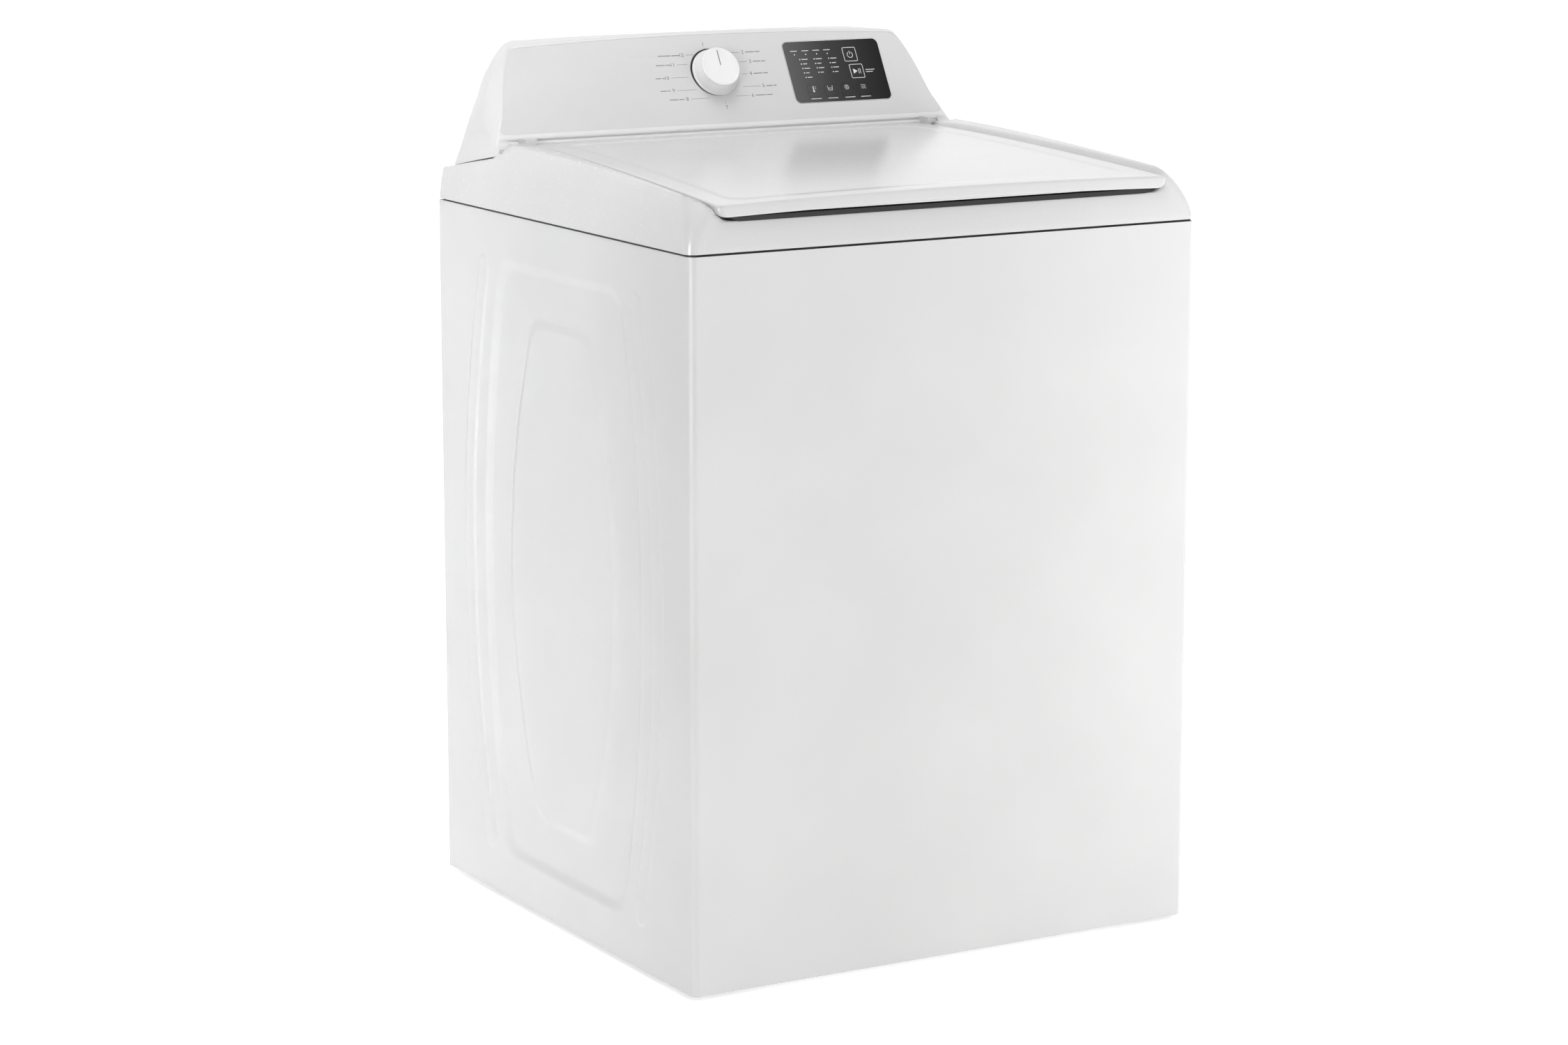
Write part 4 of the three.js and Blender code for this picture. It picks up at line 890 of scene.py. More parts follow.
def lid_shadow_strip():
    """A black rubber strip under the lid's front edge, just clear of the top panel: painted shade, a
    dark sheet standing in for the shadow in the gap under the lid.
    """
    rings = []
    half, taper, rise, steps = 294, 16, 5.5, 40
    front, rear = LID_FRONT_Y + 3.5, LID_FRONT_Y + 12
    below = lid_top(front) - LID_THICK
    for i in range(steps + 1):
        x = half * (2 * i / steps - 1)
        low = below - FINGER_GAP + 0.7 + rise * smooth((abs(x) - half + taper) / taper)
        section = [
            (front, below + 0.4), (front, low + 1), (front + 1, low), (rear - 1, low),
            (rear, low + 1), (rear, below + 0.4),
        ]
        rings.append([(x, y, z) for y, z in section])
    # Painted shade: this black strip darkens the shadowed gap under the lid's front edge.
    piece = skin("lid_shadow_strip", rings, RUBBER, caps=(True, True), angle=50)
    attach(piece, "lid", "rubber_black")


# ---- Console ----

FACE_HALF = through([
    (905, 344), (925, 339.5), (941, 334), (957, 327.5), (974, 319.5), (988, 312.5),
    (1021, 302.5), (1049, 291), (1063, 282.5), (1068, 278),
])
REAR_HALF = through([
    (880, 333), (900, 330), (935, 317), (1000, 292), (1045, 270), (1068, 246),
])
CREASE_Y = through([(900, 204), (950, 204), (964, 228), (992, 257), (1035, 266), (1068, 282)])
SLOT_GAP = 3.2
SHELL_LOW, SHELL_STRAIGHT = 905, 949
FOOT = 11.6
END_BULGE = 3.0
FASCIA_BACK, FASCIA_H = -2.6, -0.1
PANEL_RECT = (108, 252, 35, 122)
TOP_EDGE = 3


def chamfer(z):
    """How far the crease stands out beside the face, widest at mid-height."""
    return 6 * smooth((z - 956) / 30) * (1 - smooth((z - 1035) / 30))


def lip(z, x, front):
    """Relief of the face under the fascia: a rounded lip over a groove that ends before its ends."""
    s = (z - FACE.z) / UP_SLOPE.z
    bead = 2.0 * math.sin(math.pi * min(1, max(0, (s - 5.2) / 8.6))) ** 0.8
    groove = 1.4 * math.exp(-(((s - 4.2) / 0.8) ** 2))
    return bead - groove * (1 - smooth((x - front + 32) / 10))


def face_y(z):
    """Depth of the console's leaning face at a height."""
    return FACE.y + (max(z, FACE.z) - FACE.z) * FACE_LEAN


def console_half(y, z):
    """Half width of the console at a depth and a height."""
    crease = CREASE_Y(z)
    t = min(1.0, max(0.0, (y - crease) / (CONSOLE_REAR_Y - crease)))
    return FACE_HALF(z) + (REAR_HALF(z) - FACE_HALF(z)) * t


def console_plan(z, edge):
    """The console's outline at a height, drawn in by edge where its top rounds over."""
    front = FACE_HALF(z) - edge
    rear = REAR_HALF(z) - edge
    foot = FOOT * (1 - smooth((z - FACE.z + 4) / 5))
    y = face_y(z) + 0.6 * edge
    crease, out = CREASE_Y(z), chamfer(z)
    r = 0.2 + 2.3 * smooth((z - 953) / 5)
    half = []
    for share, step in (
        (0, 0), (0.1, 0), (0.2, 0), (0.3, 0), (0.4, 0), (0.5, 0), (0.6, 0), (0.7, 0), (0.8, 0),
        (0.86, 0), (0.885, 0.04), (0.9, 0.12), (0.92, 0.3), (0.945, 0.62), (0.965, 0.86),
    ):
        half.append((front * share, y - lip(z, front * share, front) - step * foot))
    relief = lip(z, front, front)
    half += [
        (front - 1.2 * r, y - foot - relief), (front - 0.5 * r, y - foot + 0.12 * r - 0.6 * relief),
        (front - 0.12 * r, y - foot + 0.5 * r), (front, y - foot + r),
    ]
    start = y - foot + r
    for t in (0.25, 0.5, 0.75, 0.95):
        half.append((front + out * t, start + (crease - start) * t))
    half.append((front + out, crease))
    for t in (0.05, 0.2, 0.4, 0.6, 0.8, 1.0):
        x = front + out + (rear - front - out) * t + END_BULGE * math.sin(math.pi * t)
        half.append((x, crease + (CONSOLE_REAR_Y - edge - crease) * t))
    return half + [(-x, y) for x, y in reversed(half[1:])]


def console_ring(z, edge):
    """A ring round the console: level above, along the slot below, crowned at the top."""
    front = FACE_HALF(z)
    rise = smooth((z - 1000) / (CONSOLE_TOP - 1000))
    ring = []
    for x, y in console_plan(z, edge):
        crown = CONSOLE_CROWN * rise * max(0.0, 1 - (x / front) ** 2)
        height = z
        if z < SHELL_STRAIGHT:
            bottom = slot_z(y) + SLOT_GAP
            share = (z - SHELL_LOW) / (SHELL_STRAIGHT - SHELL_LOW)
            height = bottom + (SHELL_STRAIGHT - bottom) * share
            x *= console_half(y, height) / console_half(y, z)
        share = (CONSOLE_REAR_Y - y) / (CONSOLE_REAR_Y - face_y(z))
        ring.append(Vector((x, y + crown * share * FACE_LEAN, height + crown)))
    return ring


def console_shell():
    """The console's outer skin, before the fascia's seat is cut into it."""
    levels = [
        SHELL_LOW, 910, 920, 930, 937, 942, 946, SHELL_STRAIGHT, 951, 952, 953, 954, 954.7,
        955.2, 955.7, 956.2, 956.8, 957.6, 958.6, 960, 961.5, 963, 964, 965, 968, 972, 977, 984,
        992, 1000, 1010, 1020, 1030, 1040, 1048, 1055, 1060, 1063,
    ]
    rings = [console_ring(z, 0) for z in levels]
    for i in range(6):
        turn = math.pi / 2 * i / 5
        z = CONSOLE_TOP - TOP_EDGE * (1 - math.sin(turn))
        rings.append(console_ring(z, TOP_EDGE * (1 - math.cos(turn))))
    top = rings[-1]
    middle = sum(top, Vector()) / len(top)
    for share in (0.97, 0.8, 0.55, 0.3):
        ring = []
        for p in top:
            x, y = p.x * share, middle.y + (p.y - middle.y) * share
            crown = CONSOLE_CROWN * max(0.0, 1 - (x / 270) ** 2)
            ring.append(Vector((x, y, CONSOLE_TOP + crown)))
        rings.append(ring)
    piece = skin("console_shell", rings, FRAME, caps=(False, True), angle=24)
    thicken(piece, 1.6)
    return piece


def slot_seals():
    """A black strip just inside each end of the console, over the gap it stands on."""
    start, inset, thick, steps = 204, 2.0, 1.4, 24
    for side, name in ((-1, "left"), (1, "right")):
        rings = []
        for i in range(steps + 1):
            t = 0.02 + 0.94 * i / steps
            y = start + (CONSOLE_REAR_Y - start) * t
            low = slot_z(y) + 0.15
            high = low + SLOT_GAP + 3
            x = console_half(y, low + SLOT_GAP) + END_BULGE * math.sin(math.pi * t) - inset
            section = ((x, low), (x, high), (x - thick, high), (x - thick, low))
            rings.append([(side * u, y, z) for u, z in section])
        piece = skin("slot_seal_" + name, rings, RUBBER, caps=(True, True), angle=40)
        attach(piece, "cabinet", "rubber_black")


def face_outline(grow):
    """The fascia's outline on the console's face: across and up the slope."""
    low, high, r, crown, steps = 13.6 - grow, 129 + grow, 9, 8.6, 26
    side = []
    for i in range(steps + 1):
        s = low + r + (high - 2 * r - low) * i / steps
        side.append((FACE_HALF(FACE.z + s * UP_SLOPE.z) - 1.6 + grow, s))
    foot, head = side[0], side[-1]
    half = (
        bowed((0, low), (foot[0] / 2, low), (foot[0] - r, low), 10)
        + bowed((foot[0] - r, low), (foot[0] + 2, low), foot, 6)
        + side[:-1]
        + bowed(head, (head[0] - 4.5, high), (head[0] - 16, high + 1), 6)
        + bowed((head[0] - 16, high + 1), (head[0] / 2, high + crown), (0, high + crown), 16)
    )
    return half + [(0.0, high + crown)] + [(-x, s) for x, s in reversed(half[1:])]


def panel_rect(grow=0.0):
    """The control panel's outline on the face."""
    x0, x1, s0, s1 = PANEL_RECT
    return rounded_rect(x0 - grow, x1 + grow, s0 - grow, s1 + grow, 8, 8)


def console():
    """The console's frame and, let into it, the fascia with its opening for the panel."""
    seat = prism("tool", face_outline(0.12), FASCIA_BACK - 0.1, 9, on_face, FRAME)
    piece = cut(console_shell(), [seat], angle=35)
    attach(piece, "cabinet", "console_white", "console_frame")
    outline, panel = face_outline(0.0), panel_rect(0.3)
    fascia = plate("fascia_plate", outline, [panel], FASCIA_BACK, FASCIA_H, 0.25, FASCIA)
    attach(fascia, "cabinet", "fascia_white", "console_fascia")


# ---- Control panel ----

KEYS = {
    "power": (205.6, 100.5, 21),
    "start": (209.8, 76.5, 21),
    "temperature": (138, 51, 17),
    "water_level": (163, 51, 17),
    "rinse": (188, 51, 17),
    "soak": (213, 51, 17),
}
KEY_TOP = 0.05
STROKE = 0.75


def key_outline(name, grow, r=2.0):
    """A key's square outline on the face, grown outwards."""
    x, s, size = KEYS[name]
    half = size / 2 + grow
    return rounded_rect(x - half, x + half, s - half, s + half, r, 4)


def control_panel():
    """The dark panel with a pale edge, and the six keys in its openings."""
    outline = panel_rect()
    holes = [key_outline(name, 0.18) for name in KEYS]
    piece = plate("panel_overlay", outline, holes, FASCIA_BACK, 0.0, 0.35, PANEL)
    attach(piece, "cabinet", "panel_grey", "control_panel")
    attach(ribbon("panel_edge", outline, 0.5, 0.12), "cabinet", "fascia_white")
    for name in KEYS:
        cap = plate("key_cap_" + name, key_outline(name, 0), [], -4, KEY_TOP, 0.1, PANEL)
        attach(cap, "key_" + name, "key_grey", "key_" + name)


def ribbon(name, outline, width, high):
    """A thin raised line along a closed outline on the face."""
    rings = []
    for share, h in ((0, -0.05), (0.2, high), (0.8, high), (1, -0.05)):
        rings.append([on_face(u, v, h) for u, v in offset_loop(outline, width * share)])
    return skin(name, rings + rings[:1], LIP, angle=40)


class Marks:
    """Thin raised print on the console's face, gathered into one piece."""

    def __init__(self, base, high):
        self.bm = bmesh.new()
        self.base, self.high = base, high

    def body(self, outline):
        slab(self.bm, outline, self.base, self.high, on_face)

    def line(self, points, width):
        """A stroke of even width along points, one straight run at a time."""
        for (x0, s0), (x1, s1) in zip(points, points[1:]):
            along = Vector((x1 - x0, s1 - s0)).normalized() * width / 2
            across = Vector((-along.y, along.x))
            a, b = Vector((x0, s0)) - along, Vector((x1, s1)) + along
            self.body([tuple(p) for p in (a - across, b - across, b + across, a + across)])

    def ring(self, x, s, r, width, start=0.0, end=360.0, steps=20):
        """A ring, or part of one, round a point."""
        outer = arc(x, s, r + width / 2, start, end, steps)
        inner = arc(x, s, r - width / 2, start, end, steps)
        for i in range(steps):
            self.body([outer[i], outer[i + 1], inner[i + 1], inner[i]])

    def dot(self, x, s, r):
        self.body(arc(x, s, r, 0, 330, 11))

    def frame(self, x, s, size, width, r=2.0):
        """A square outline with round corners."""
        half = size / 2
        outer = rounded_rect(x - half, x + half, s - half, s + half, r, 3)
        inner = offset_loop(outer, width)
        for i in range(len(outer)):
            j = (i + 1) % len(outer)
            self.body([outer[i], outer[j], inner[j], inner[i]])

    def wave(self, x, s, length, height=0.5, width=0.5, waves=2, steps=10):
        points = []
        for i in range(steps + 1):
            t = i / steps
            rise = height * math.sin(2 * math.pi * waves * t)
            points.append((x + (t - 0.5) * length, s + rise))
        self.line(points, width)

    def done(self, name, material, body, slot):
        bmesh.ops.recalc_face_normals(self.bm, faces=self.bm.faces)
        piece = new_piece(name, as_mesh(name, self.bm), material)
        return attach(piece, body, slot)


def power_icon(m, x, s, size):
    m.frame(x, s, size - 1, STROKE)
    m.ring(x, s - 0.6, 4.0, STROKE, -240, 60)
    m.line([(x, s + 0.4), (x, s + 4.6)], STROKE)


def start_icon(m, x, s, size):
    m.frame(x, s, size - 1, STROKE)
    m.body([(x - 5.4, s - 3.6), (x + 0.6, s), (x - 5.4, s + 3.6)])
    for shift in (2.6, 5.0):
        m.line([(x + shift, s - 3.2), (x + shift, s + 3.2)], STROKE)


def temperature_icon(m, x, s, _):
    m.line([(x, s + 1), (x, s + 6.4)], 1.3)
    m.dot(x, s + 0.2, 1.5)
    for rise in (6, 3.8):
        m.line([(x + 2.2, s + rise), (x + 3.8, s + rise)], 0.5)


def water_level_icon(m, x, s, _):
    m.line([(x - 3.6, s + 6.6), (x - 2.6, s + 0.6), (x + 2.6, s + 0.6), (x + 3.6, s + 6.6)], 0.6)
    m.wave(x, s + 3.4, 5.0)


def rinse_icon(m, x, s, _):
    for r, width, start, end in ((2.9, 0.6, 30, 200), (2.9, 0.6, 210, 380), (1.1, 0.5, 0, 360)):
        m.ring(x, s + 3.6, r, width, start, end, 10)


def soak_icon(m, x, s, _):
    for rise in (1.2, 3.4, 5.6):
        m.wave(x, s + rise, 6.4)


KEY_ICONS = {
    "power": power_icon, "start": start_icon, "temperature": temperature_icon,
    "water_level": water_level_icon, "rinse": rinse_icon, "soak": soak_icon,
}


def key_marks():
    """A plain icon on each key, drawn about the key's centre."""
    for name, icon in KEY_ICONS.items():
        marks = Marks(KEY_TOP - 0.05, KEY_TOP + 0.12)
        icon(marks, *KEYS[name])
        marks.done(f"key_{name}_mark", PALE_PRINT, "key_" + name, "key_grey")


def digit_mesh(text, size, x, s, high, align):
    """A number as a thin raised mesh on the face, built from the plain built-in letter shapes."""
    curve = bpy.data.curves.new("number", "FONT")
    curve.body = text
    curve.size = size * MM
    curve.extrude = 0.06 * MM
    curve.align_x = align
    curve.align_y = "CENTER"
    curve.resolution_u = 2
    holder = bpy.data.objects.new("number", curve)
    bpy.context.scene.collection.objects.link(holder)
    place = Matrix.Translation(on_face(x, s, high) * MM)
    turn = Matrix((
        (1, 0, 0, 0), (0, UP_SLOPE.y, OUT.y, 0), (0, UP_SLOPE.z, OUT.z, 0), (0, 0, 0, 1),
    ))
    holder.matrix_world = place @ turn
    bpy.context.view_layer.update()
    made = holder.evaluated_get(bpy.context.evaluated_depsgraph_get())
    mesh = bpy.data.meshes.new_from_object(made)
    mesh.transform(holder.matrix_world)
    bpy.data.objects.remove(holder)
    return mesh


def numbers(name, entries, size, high, material, body, slot):
    """Several numbers as one piece."""
    bm = bmesh.new()
    for text, x, s, align in entries:
        bm.from_mesh(digit_mesh(text, size, x, s, high, align))
    bmesh.ops.remove_doubles(bm, verts=bm.verts, dist=0.000005)
    return attach(new_piece(name, as_mesh(name, bm), material), body, slot)


# Leader lines from the top down, each as (start, end, place up the slope, length of its label).
LEADERS_RIGHT = [
    (28.7, 43.3, 110.5, 20), (39.1, 51.1, 97.1, 17), (39.6, 47.5, 80.3, 20),
    (36.3, 61.4, 62.5, 14), (22.6, 42.2, 50, 24),
]
LEADERS_LEFT = [
    (-34.5, -23.2, 110, 30), (-50.6, -35.8, 97.2, 20), (-63.6, -39, 79.3, 12),
    (-60, -31.9, 61.7, 13), (-43.5, -15.8, 49.2, 20),
]
LEADER_WIDTH = 0.45


def label_bars(marks, x, s, length):
    """Two short bars in place of a label's words."""
    first = length * 0.58
    marks.line([(x, s), (x + first, s)], 1.1)
    marks.line([(x + first + 2.4, s), (x + length, s)], 1.1)


def dial_marks():
    """Leader lines round the knob, each with a number and bars in place of its label."""
    m = Marks(FASCIA_H - 0.1, FASCIA_H + 0.1)
    entries = []
    for n, (x0, x1, s, _) in enumerate(LEADERS_RIGHT):
        m.line([(x0, s), (x1, s)], LEADER_WIDTH)
        entries.append((str(n + 2), x1 + 3.0, s, "LEFT"))
    for n, (x0, x1, s, _) in enumerate(reversed(LEADERS_LEFT)):
        m.line([(x0, s), (x1, s)], LEADER_WIDTH)
        entries.append((str(n + 8), x0 - 3.0, s, "RIGHT"))
    for _, x1, s, length in LEADERS_RIGHT:
        label_bars(m, x1 + 9.5, s, length)
    for x0, _, s, length in LEADERS_LEFT:
        label_bars(m, x0 - 10 - length, s, length)
    m.line([(-5.5, 116), (-5.8, 119)], LEADER_WIDTH)
    m.line([(4.6, 43.5), (5, 40.5)], LEADER_WIDTH)
    entries += [("1", -6, 124, "CENTER"), ("7", 5, 35, "CENTER")]
    m.done("dial_lines", PRINT, "cabinet", "fascia_white")
    numbers("dial_numbers", entries, 7.5, FASCIA_H + 0.04, PRINT, "cabinet", "fascia_white")


def panel_marks():
    """Indicator lights in columns, with a bar beside each, on the dark panel."""
    m = Marks(-0.05, 0.1)
    bars = Marks(-0.05, 0.08)
    for x in (123.3, 140.2, 156.5, 172.5):
        m.dot(x, 103.3, 0.9)
        bars.line([(x - 4.5, 108.4), (x + 4.5, 108.4)], 0.9)
    first_s, pitch, bar_ends = 96.3, 6.35, (11, 8, 10, 7, 9)
    for column, lean, count in ((129.4, 0.55, 5), (150.7, 0.6, 4), (172.6, 0.6, 4)):
        for i in range(count):
            x, s = column + lean * i, first_s - pitch * i
            m.dot(x, s, 0.9)
            bars.line([(x + 3, s), (x + bar_ends[i], s)], 1.0)
    for x in (138.8, 163.9, 189.6, 213.1):
        bars.line([(x - 7, 40.5), (x + 7, 40.5)], 0.9)
    bars.line([(223.5, 78), (236, 78)], 0.9)
    bars.line([(223.5, 75), (233, 75)], 0.9)
    m.done("indicator_lights", PALE_PRINT, "cabinet", "panel_grey")
    bars.done("indicator_bars", PALE_PRINT, "cabinet", "panel_grey")


# ---- Knob ----


def knob_place(x, s, h):
    """A point about the knob's axis, on the console's face."""
    return on_face(x, KNOB_S + s, h)


def shadow_ring_place(x, s, h):
    """As knob_place, but a little to the left and up the slope, where more of the ring shows: a painted
    shadow, widest at the knob's upper left.
    """
    return knob_place(x - 0.7, s + 1.3, h)


def knob():
    """The knob's skirt and cap, the black ring they stand in, which is painted shade for the shadow
    round the knob's base, and the pointer.
    """
    skirt = [
        (3.5, 4.6), (24, 4.6), (27.5, 5.0), (29.2, 4.7), (30.6, 3.9), (31.5, 2.7), (31.9, 1.6),
        (31.6, 0.9), (31, 0.6), (3.5, 0.6),
    ]
    piece = turned("knob_skirt_ring", skirt, KNOB, place=knob_place, angle=50)
    attach(piece, "knob", "console_white", "knob_skirt")
    # Painted shade: a black ring, set off-centre, stands in for the shadow round the knob's base.
    seat = [(29, -0.1), (32.9, -0.1), (32.7, 0.25), (29, 0.25)]
    piece = turned("knob_shadow_ring", seat, BLACK, place=shadow_ring_place, angle=40)
    attach(piece, "cabinet", "black_plastic")
    cap = [
        (0, 13), (3.5, 13), (3.5, 5.5), (30.0, 5.5), (30.5, 5.9), (30.3, 7.2), (29.3, 10.5),
        (28.2, 14), (27.3, 16.4), (27.0, 17.0), (26.5, 17.2), (26.5, 17.6), (26.9, 17.8),
        (26.8, 18.8), (26.4, 19.8), (25.7, 20.4), (24.8, 20.5), (24.2, 20.2), (23.4, 20.05),
        (12, 20), (0, 20),
    ]
    piece = turned("knob_cap_turned", cap, KNOB, place=knob_place, angle=40)
    slot = rounded_rect(-0.75, 0.75, 1.5, 23.0, 0.7, 3)
    cut(piece, [prism("tool", slot, 19.6, 24, knob_place, PRINT)], angle=35)
    attach(piece, "knob", "console_white", "knob_cap")
    pointer = Marks(19.55, 19.85)
    pointer.body(rounded_rect(-0.6, 0.6, KNOB_S + 1.7, KNOB_S + 22.8, 0.55, 3))
    pointer.done("knob_pointer", PRINT, "knob", "console_white")


# ---- Washing parts ----


def perforations(bm, r, z0, z1, columns, rows, hole=2.6):
    """A round wall of small cells, each with an eight-sided hole."""
    def at(turn, z):
        return bm.verts.new(Vector((*about_tub(r, turn), z)) * MM)

    step, high = 2 * math.pi / columns, (z1 - z0) / rows
    for c in range(columns):
        for k in range(rows):
            turn, z = (c + 0.5) * step, z0 + (k + 0.5) * high
            outer, inner = [], []
            for i in range(8):
                u, v = math.cos(math.pi / 4 * i), math.sin(math.pi / 4 * i)
                reach = max(abs(u), abs(v))
                outer.append(at(turn + step / 2 * u / reach, z + high / 2 * v / reach))
                inner.append(at(turn + hole * u / r, z + hole * v))
            wall(bm, outer, inner)


def basket():
    """A stainless basket with real holes through its wall."""
    r, low, top, columns = 262, 256, 780, 84
    z0, z1 = low + 30, top - 34
    bm = bmesh.new()
    perforations(bm, r, z0, z1, columns, 24)
    segments = columns * 2
    turns = [2 * math.pi * i / segments for i in range(segments)]
    bands = [
        [(21, low - 8), (66, low - 8), (72, low - 4), (78, low), (r - 26, low),
         (r - 12, low + 2.5), (r - 4, low + 9), (r, low + 20), (r, z0)],
        [(r, z1), (r, top - 24), (r - 1.2, top - 21), (r - 1.2, top - 15), (r, top - 12), (r, top)],
    ]
    for band in bands:
        rings = [
            [bm.verts.new(Vector((*about_tub(radius, turn), z)) * MM) for turn in turns]
            for radius, z in band
        ]
        for first, second in zip(rings, rings[1:]):
            wall(bm, first, second)
    piece = settle("basket_drum", bm, STAINLESS, angle=40)
    attach(thicken(piece, 0.9), "basket", "stainless", "basket")


def outer_tub():
    """The tub with its shallow ribs, and the four ears that it hangs by."""
    r, low, top, thick, rib_pitch = 292, 216, 832, 4, 110
    profile = [(22, low), (r - 28, low), (r - 14, low + 3), (r - 4, low + 12), (r, low + 26)]
    for z in range(low + 90, top - 60, rib_pitch):
        profile += [(r, z - 3), (r - 1.6, z - 1.5), (r - 1.6, z + 1.5), (r, z + 3)]
    profile += [
        (r, top), (r - thick, top), (r - thick, low + 27), (r - 8, low + 15), (r - 16, low + 7),
        (r - 29, low + thick), (22, low + thick),
    ]
    piece = turned("outer_tub_shell", profile, TUB, segments=128, angle=35)
    for x, y in CORNERS:
        ear(piece, 285 * x, 267 * y)
    attach(piece, "wash_unit", "tub_grey", "outer_tub")


def tub_rings():
    """The moulding that closes the tub's top, and the balance ring on the basket."""
    low = 832.4
    profile = [
        (248, low + 8.5), (250, low + 7), (276, low + 1), (280, low), (292, low),
        (293, low + 0.8), (293, low + 8), (291.5, low + 9.4), (262, low + 15), (256, low + 16),
        (250, low + 15.4), (248, low + 13.5),
    ]
    piece = turned("tub_ring_moulding", profile, LINER, segments=128, angle=45)
    attach(piece, "wash_unit", "inner_white", "tub_ring")
    low = 780.4
    profile = [
        (232, low), (262, low), (263, low + 1), (263, 817), (261.5, 820), (257, 822), (231, 822),
        (227, 820), (224.6, 815), (224, 808), (224, 792), (225.5, 785), (228.5, 781.5),
    ]
    piece = turned("balance_ring_moulding", profile, LINER, segments=128, angle=45)
    attach(piece, "basket", "inner_white", "balance_ring")


def ear(tub, x, y):
    """Adds the ear that carries the tub on one spring to the tub's own mesh."""
    turn, reach, root = math.atan2(y, x), math.hypot(x, y), 290.5
    corners = (
        (root, -0.2), (reach - 5, -0.05), (reach + 17, -0.04), (reach + 17, 0.04),
        (reach - 5, 0.05), (root, 0.2),
    )
    bm = bmesh.new()
    bm.from_mesh(tub.data)
    slab(bm, [about_tub(radius, turn + angle) for radius, angle in corners], 420, 426, upright)
    bm.to_mesh(tub.data)
    bm.free()


AGITATOR_FOOT, AGITATOR_TOP = 272, 518


def agitator_fin(number, turn):
    """One upright fin, swept a little sideways, from the hub's wall to a rounded rim."""
    foot, top = AGITATOR_FOOT, AGITATOR_TOP
    rim = [
        (142, foot + 8), (141, foot + 22), (128, foot + 36), (110, foot + 50), (94, foot + 70),
        (82, foot + 98), (74, foot + 130), (69, foot + 180), (66, top - 26), (60, top - 20),
        (47, top - 18),
    ]
    hub, c, s = 44, math.cos(turn), math.sin(turn)
    rings = []
    for radius, z in rim:
        half = 4.6 - 2.0 * smooth((radius - 50) / 90)
        root = min(hub + max(0, 60 - (z - foot)) * 1.5, radius - 2)
        edge = [(radius - 5, half), (radius - 1.5, half * 0.7)]
        section = [(root, -half * 1.5)] + [(r, -w) for r, w in edge]
        section += [(radius, 0)] + edge[::-1] + [(root, half * 1.5)]
        sway = 10 * math.sin(math.pi * (z - foot) / (top - foot)) ** 2
        ring = []
        for r, w in section:
            v = w + sway * smooth((r - hub) / 60)
            ring.append((r * c - v * s, TUB_Y + r * s + v * c, z))
        rings.append(ring)
    piece = skin(f"agitator_fin_{number}", rings, LINER, caps=(True, True), angle=50)
    attach(piece, "agitator", "inner_white")


def agitator():
    """The agitator's bell, its four fins and the shaft that it stands on."""
    foot, top = AGITATOR_FOOT, AGITATOR_TOP
    bell = [
        (10, foot + 12), (15, foot + 12), (72, foot + 6), (138, foot), (145, foot + 0.6),
        (148, foot + 3), (147.6, foot + 6), (145.5, foot + 8), (120, foot + 14), (96, foot + 22),
        (78, foot + 33), (66, foot + 46), (59, foot + 62), (54, foot + 84), (50.5, foot + 112),
        (48, foot + 170), (46.4, top - 8), (45.4, top - 2), (44, top), (10, top),
    ]
    piece = turned("agitator_bell", bell, LINER, angle=45)
    attach(piece, "agitator", "inner_white", "agitator_base")
    for k in range(4):
        agitator_fin(k + 1, math.pi / 2 * k)
    shaft = [(0, 166), (8.4, 166), (9, 166.6), (9, foot + 14), (0, foot + 14)]
    piece = turned("agitator_shaft", shaft, STAINLESS, segments=40, angle=40)
    attach(piece, "agitator", "stainless")


def auger():
    """The auger's barrel, with the softener cup in its top, and its flight."""
    low, top = 520.4, 712
    profile = [
        (0, low), (44.5, low), (46, low + 1.4), (45.6, low + 10), (44, top - 30), (44.4, top - 20),
        (46.4, top - 8), (47, top - 3), (46.2, top - 0.6), (45, top), (43.6, top - 0.5),
        (43, top - 2), (41.5, top - 10), (40, top - 22), (39, top - 56), (36, top - 60),
        (0, top - 60),
    ]
    piece = turned("auger_barrel", profile, LINER, segments=80, angle=45)
    attach(piece, "auger", "inner_white", "auger")
    rings = []
    turns, steps = 1.5, 150
    for i in range(steps + 1):
        t = i / steps
        z = low + 10 + (top - low - 60) * t
        outer = 44 + 30 * max(0.02, math.sin(math.pi * t)) ** 0.4
        section = [
            (42, z - 7), (45, z - 5), (outer - 8, z - 2.4), (outer - 2, z - 1.9), (outer, z),
            (outer - 2, z + 1.9), (outer - 8, z + 2.2), (45, z + 5), (42, z + 7),
        ]
        rings.append([(*about_tub(r, 2 * math.pi * turns * t), h) for r, h in section])
    piece = skin("auger_flight", rings, LINER, caps=(True, True), angle=50)
    attach(piece, "auger", "inner_white")


def coil_rings(cx, cy, low, high):
    """Rings along a coil spring, whose first and last turns lie closer together."""
    wire, radius, coils, sides = 2.2, 11.5, 8, 10
    steps = coils * 20
    rings = []
    for i in range(steps + 1):
        t = i / steps
        turn = 2 * math.pi * coils * t
        share = 0.04 * smooth(t * 8) + 0.92 * t + 0.04 * smooth(8 * t - 7)
        z = low + wire + (high - low - 2 * wire) * share
        ring = []
        for k in range(sides):
            a = 2 * math.pi * k / sides
            r = radius + wire * math.cos(a)
            ring.append((cx + r * math.cos(turn), cy + r * math.sin(turn), z + wire * math.sin(a)))
        rings.append(ring)
    return rings


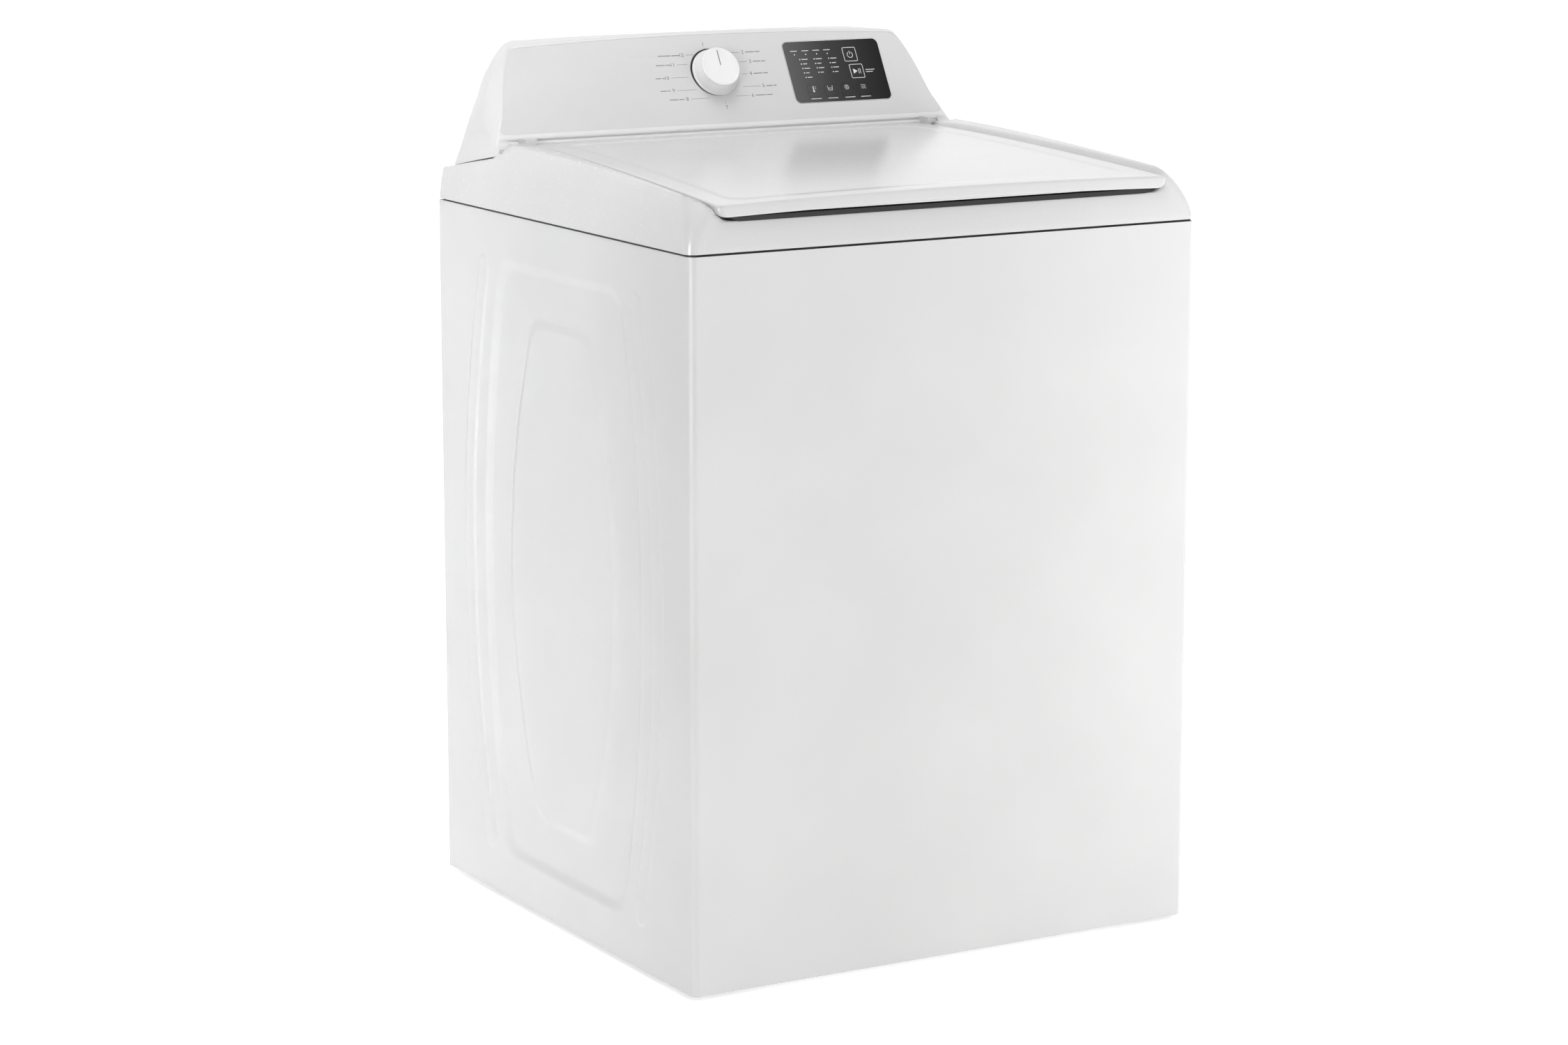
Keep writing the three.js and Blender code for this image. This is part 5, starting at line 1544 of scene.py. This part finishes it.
def springs():
    """Coils between the rods' lower ends and the tub's ears."""
    for x_name in ("left", "right"):
        for y_name in ("front", "rear"):
            node = f"suspension_spring_{y_name}_{x_name}"
            low, high = box_mm(node)
            cx, cy = (low.x + high.x) / 2, (low.y + high.y) / 2
            name = node.replace("suspension_spring", "coil")
            rings = coil_rings(cx, cy, low.z, high.z)
            piece = skin(name, rings, ZINC, caps=(True, True), angle=60)
            ends = [Vector((cx, cy, z)) * MM for z in (low.z + 4, high.z - 4)]
            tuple(ends[0])
            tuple(ends[1])
            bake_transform(piece)
            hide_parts(node)


# ---- Carried-over CAD nodes ----

CAD_FINISH = {
    "rear_panel": (ZINC, 0.4), "base_rail_front": (ZINC, 0.5), "base_rail_rear": (ZINC, 0.5),
    "bleach_dispenser": (LINER, 0.8), "lid_lock": (BLACK, 0.8), "lid_inner": (LINER, 0.8),
    "lid_strike": (LINER, 0.6), "control_board": (BOARD, 0.3), "cycle_encoder": (LINER, 0.6),
    "console_rear_cover": (ZINC, 0.5), "inlet_valve": (LINER, 0.6), "fill_hose": (RUBBER, 0),
    "fill_nozzle": (LINER, 0.8), "cord_gland": (BLACK, 0.4), "mounting_plate": (ZINC, 0.8),
    "gearcase": (CAST, 1.2), "motor_housing": (CAST, 1.2), "drive_pulley": (CAST, 0.8),
    "motor_pulley": (CAST, 0.8), "drive_belt": (RUBBER, 0.5), "drain_pump": (LINER, 1.0),
    "drain_hose": (RUBBER, 0), "drain_outlet": (BLACK, 0.5), "hinge_bracket": (LID, 0.8),
    "lid_bumper": (BUMPER, 0.8), "suspension_rod": (ZINC, 0.4), "foot": (RUBBER, 0.8),
}


def finish_cad_nodes():
    """Gives every CAD node that still shows its own finish and rounded edges."""
    for name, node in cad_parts.items():
        if node.hide_render:
            continue
        found = [key for key in CAD_FINISH if name.startswith(key)]
        material, width = CAD_FINISH[max(found, key=len)]
        node.data.materials.clear()
        node.data.materials.append(material)
        if width:
            soften(node, width, angle=40)


# ---- Stage ----


# Area lights: name, place, aim, width, height, power, spread in degrees, and whether the light
# falls on matt surfaces and shows in gloss.
LIGHTS = (
    ("side_light", (-3.4, -2.7, 1.0), (-0.35, 0.72, 0.6), 0.3, 2.0, 5.2, 26, (True, False)),
    ("right_strip", (1.0, -1.0, 0.65), (0.25, -0.33, 0.6), 0.4, 1.7, 10, 180, (True, False)),
    ("corner_strip", (-2.6, -1.2, 0.9), (-0.35, -0.33, 0.6), 0.5, 2.4, 130, 180, (False, True)),
    ("front_light", (-0.9, -3.8, 2.2), (0, -0.1, 0.6), 1.6, 1.6, 31, 180, (True, False)),
    ("top_light", (-0.3, -0.1, 2.8), (0, 0, 0.9), 1.4, 1.4, 27, 180, (True, False)),
)
FLOOR_HALF = 40
FLOOR_GLOW, WORLD_LIGHT = 0.55, 0.46
SENSOR, LENS = 36, 95.47
CAMERA_PLACE, CAMERA_PITCH = (-2.5732, -4.4124, 1.4803), 11.07
CAMERA_HEADING = (0.49863, 0.86683)


def floor_sweep():
    """A pale floor that curves up into a backdrop."""
    bm = bmesh.new()
    depth = [(-FLOOR_HALF, 0), (9, 0), (10, 0.06), (10.9, 0.35), (11.6, 0.9), (12, 1.7), (12, 9)]
    rows = [[bm.verts.new((x, y, z)) for y, z in depth] for x in (-FLOOR_HALF, FLOOR_HALF)]
    wall(bm, rows[1], rows[0], closed=False)
    sweep = finish("floor_sweep", (0.95, 0.95, 0.95), 0.9, grain=40, vary=0.002)
    glow = sweep.node_tree.nodes["Principled BSDF"].inputs
    glow["Emission Color"].default_value = (1, 1, 1, 1)
    glow["Emission Strength"].default_value = FLOOR_GLOW
    settle("floor", bm, sweep)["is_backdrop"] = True


def placed(name, data, place, way):
    """A light or a camera in the scene, turned to look along a direction."""
    item = bpy.data.objects.new(name, data)
    bpy.context.scene.collection.objects.link(item)
    item.location = place
    item.rotation_euler = way.to_track_quat("-Z", "Y").to_euler()
    return item


def lights():
    """White light from all round, and the area lights."""
    world = bpy.data.worlds.new("world")
    bpy.context.scene.world = world
    world.use_nodes = True
    back = world.node_tree.nodes["Background"]
    back.inputs["Color"].default_value = (1, 1, 1, 1)
    back.inputs["Strength"].default_value = WORLD_LIGHT
    for name, place, aim, wide, tall, power, spread, seen in LIGHTS:
        data = bpy.data.lights.new(name, "AREA")
        data.shape = "RECTANGLE"
        data.size, data.size_y = wide, tall
        data.energy = power
        data.spread = math.radians(spread)
        light = placed(name, data, place, Vector(aim) - Vector(place))
        light.visible_diffuse, light.visible_glossy = seen


def camera():
    """The photograph's view, from the machine's left front."""
    scene = bpy.context.scene
    data = bpy.data.cameras.new("camera")
    data.sensor_width, data.lens = SENSOR, LENS
    pitch = math.radians(CAMERA_PITCH)
    x, y = CAMERA_HEADING
    way = Vector((x * math.cos(pitch), y * math.cos(pitch), -math.sin(pitch)))
    scene.camera = placed("camera", data, CAMERA_PLACE, way)
    scene.view_settings.view_transform = "Standard"
    scene.view_settings.look = "None"


cabinet_skin()
top_edges()
seam_gasket()
top_skin()
lid_skin()
lid_shadow_strip()
console()
slot_seals()
control_panel()
key_marks()
dial_marks()
panel_marks()
knob()
basket()
outer_tub()
tub_rings()
agitator()
auger()
springs()
finish_cad_nodes()
floor_sweep()
lights()
camera()

boxes = {"cad": CAD_BOX, "visual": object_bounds()}
{name: [list(low), list(high)] for name, (low, high) in boxes.items()}
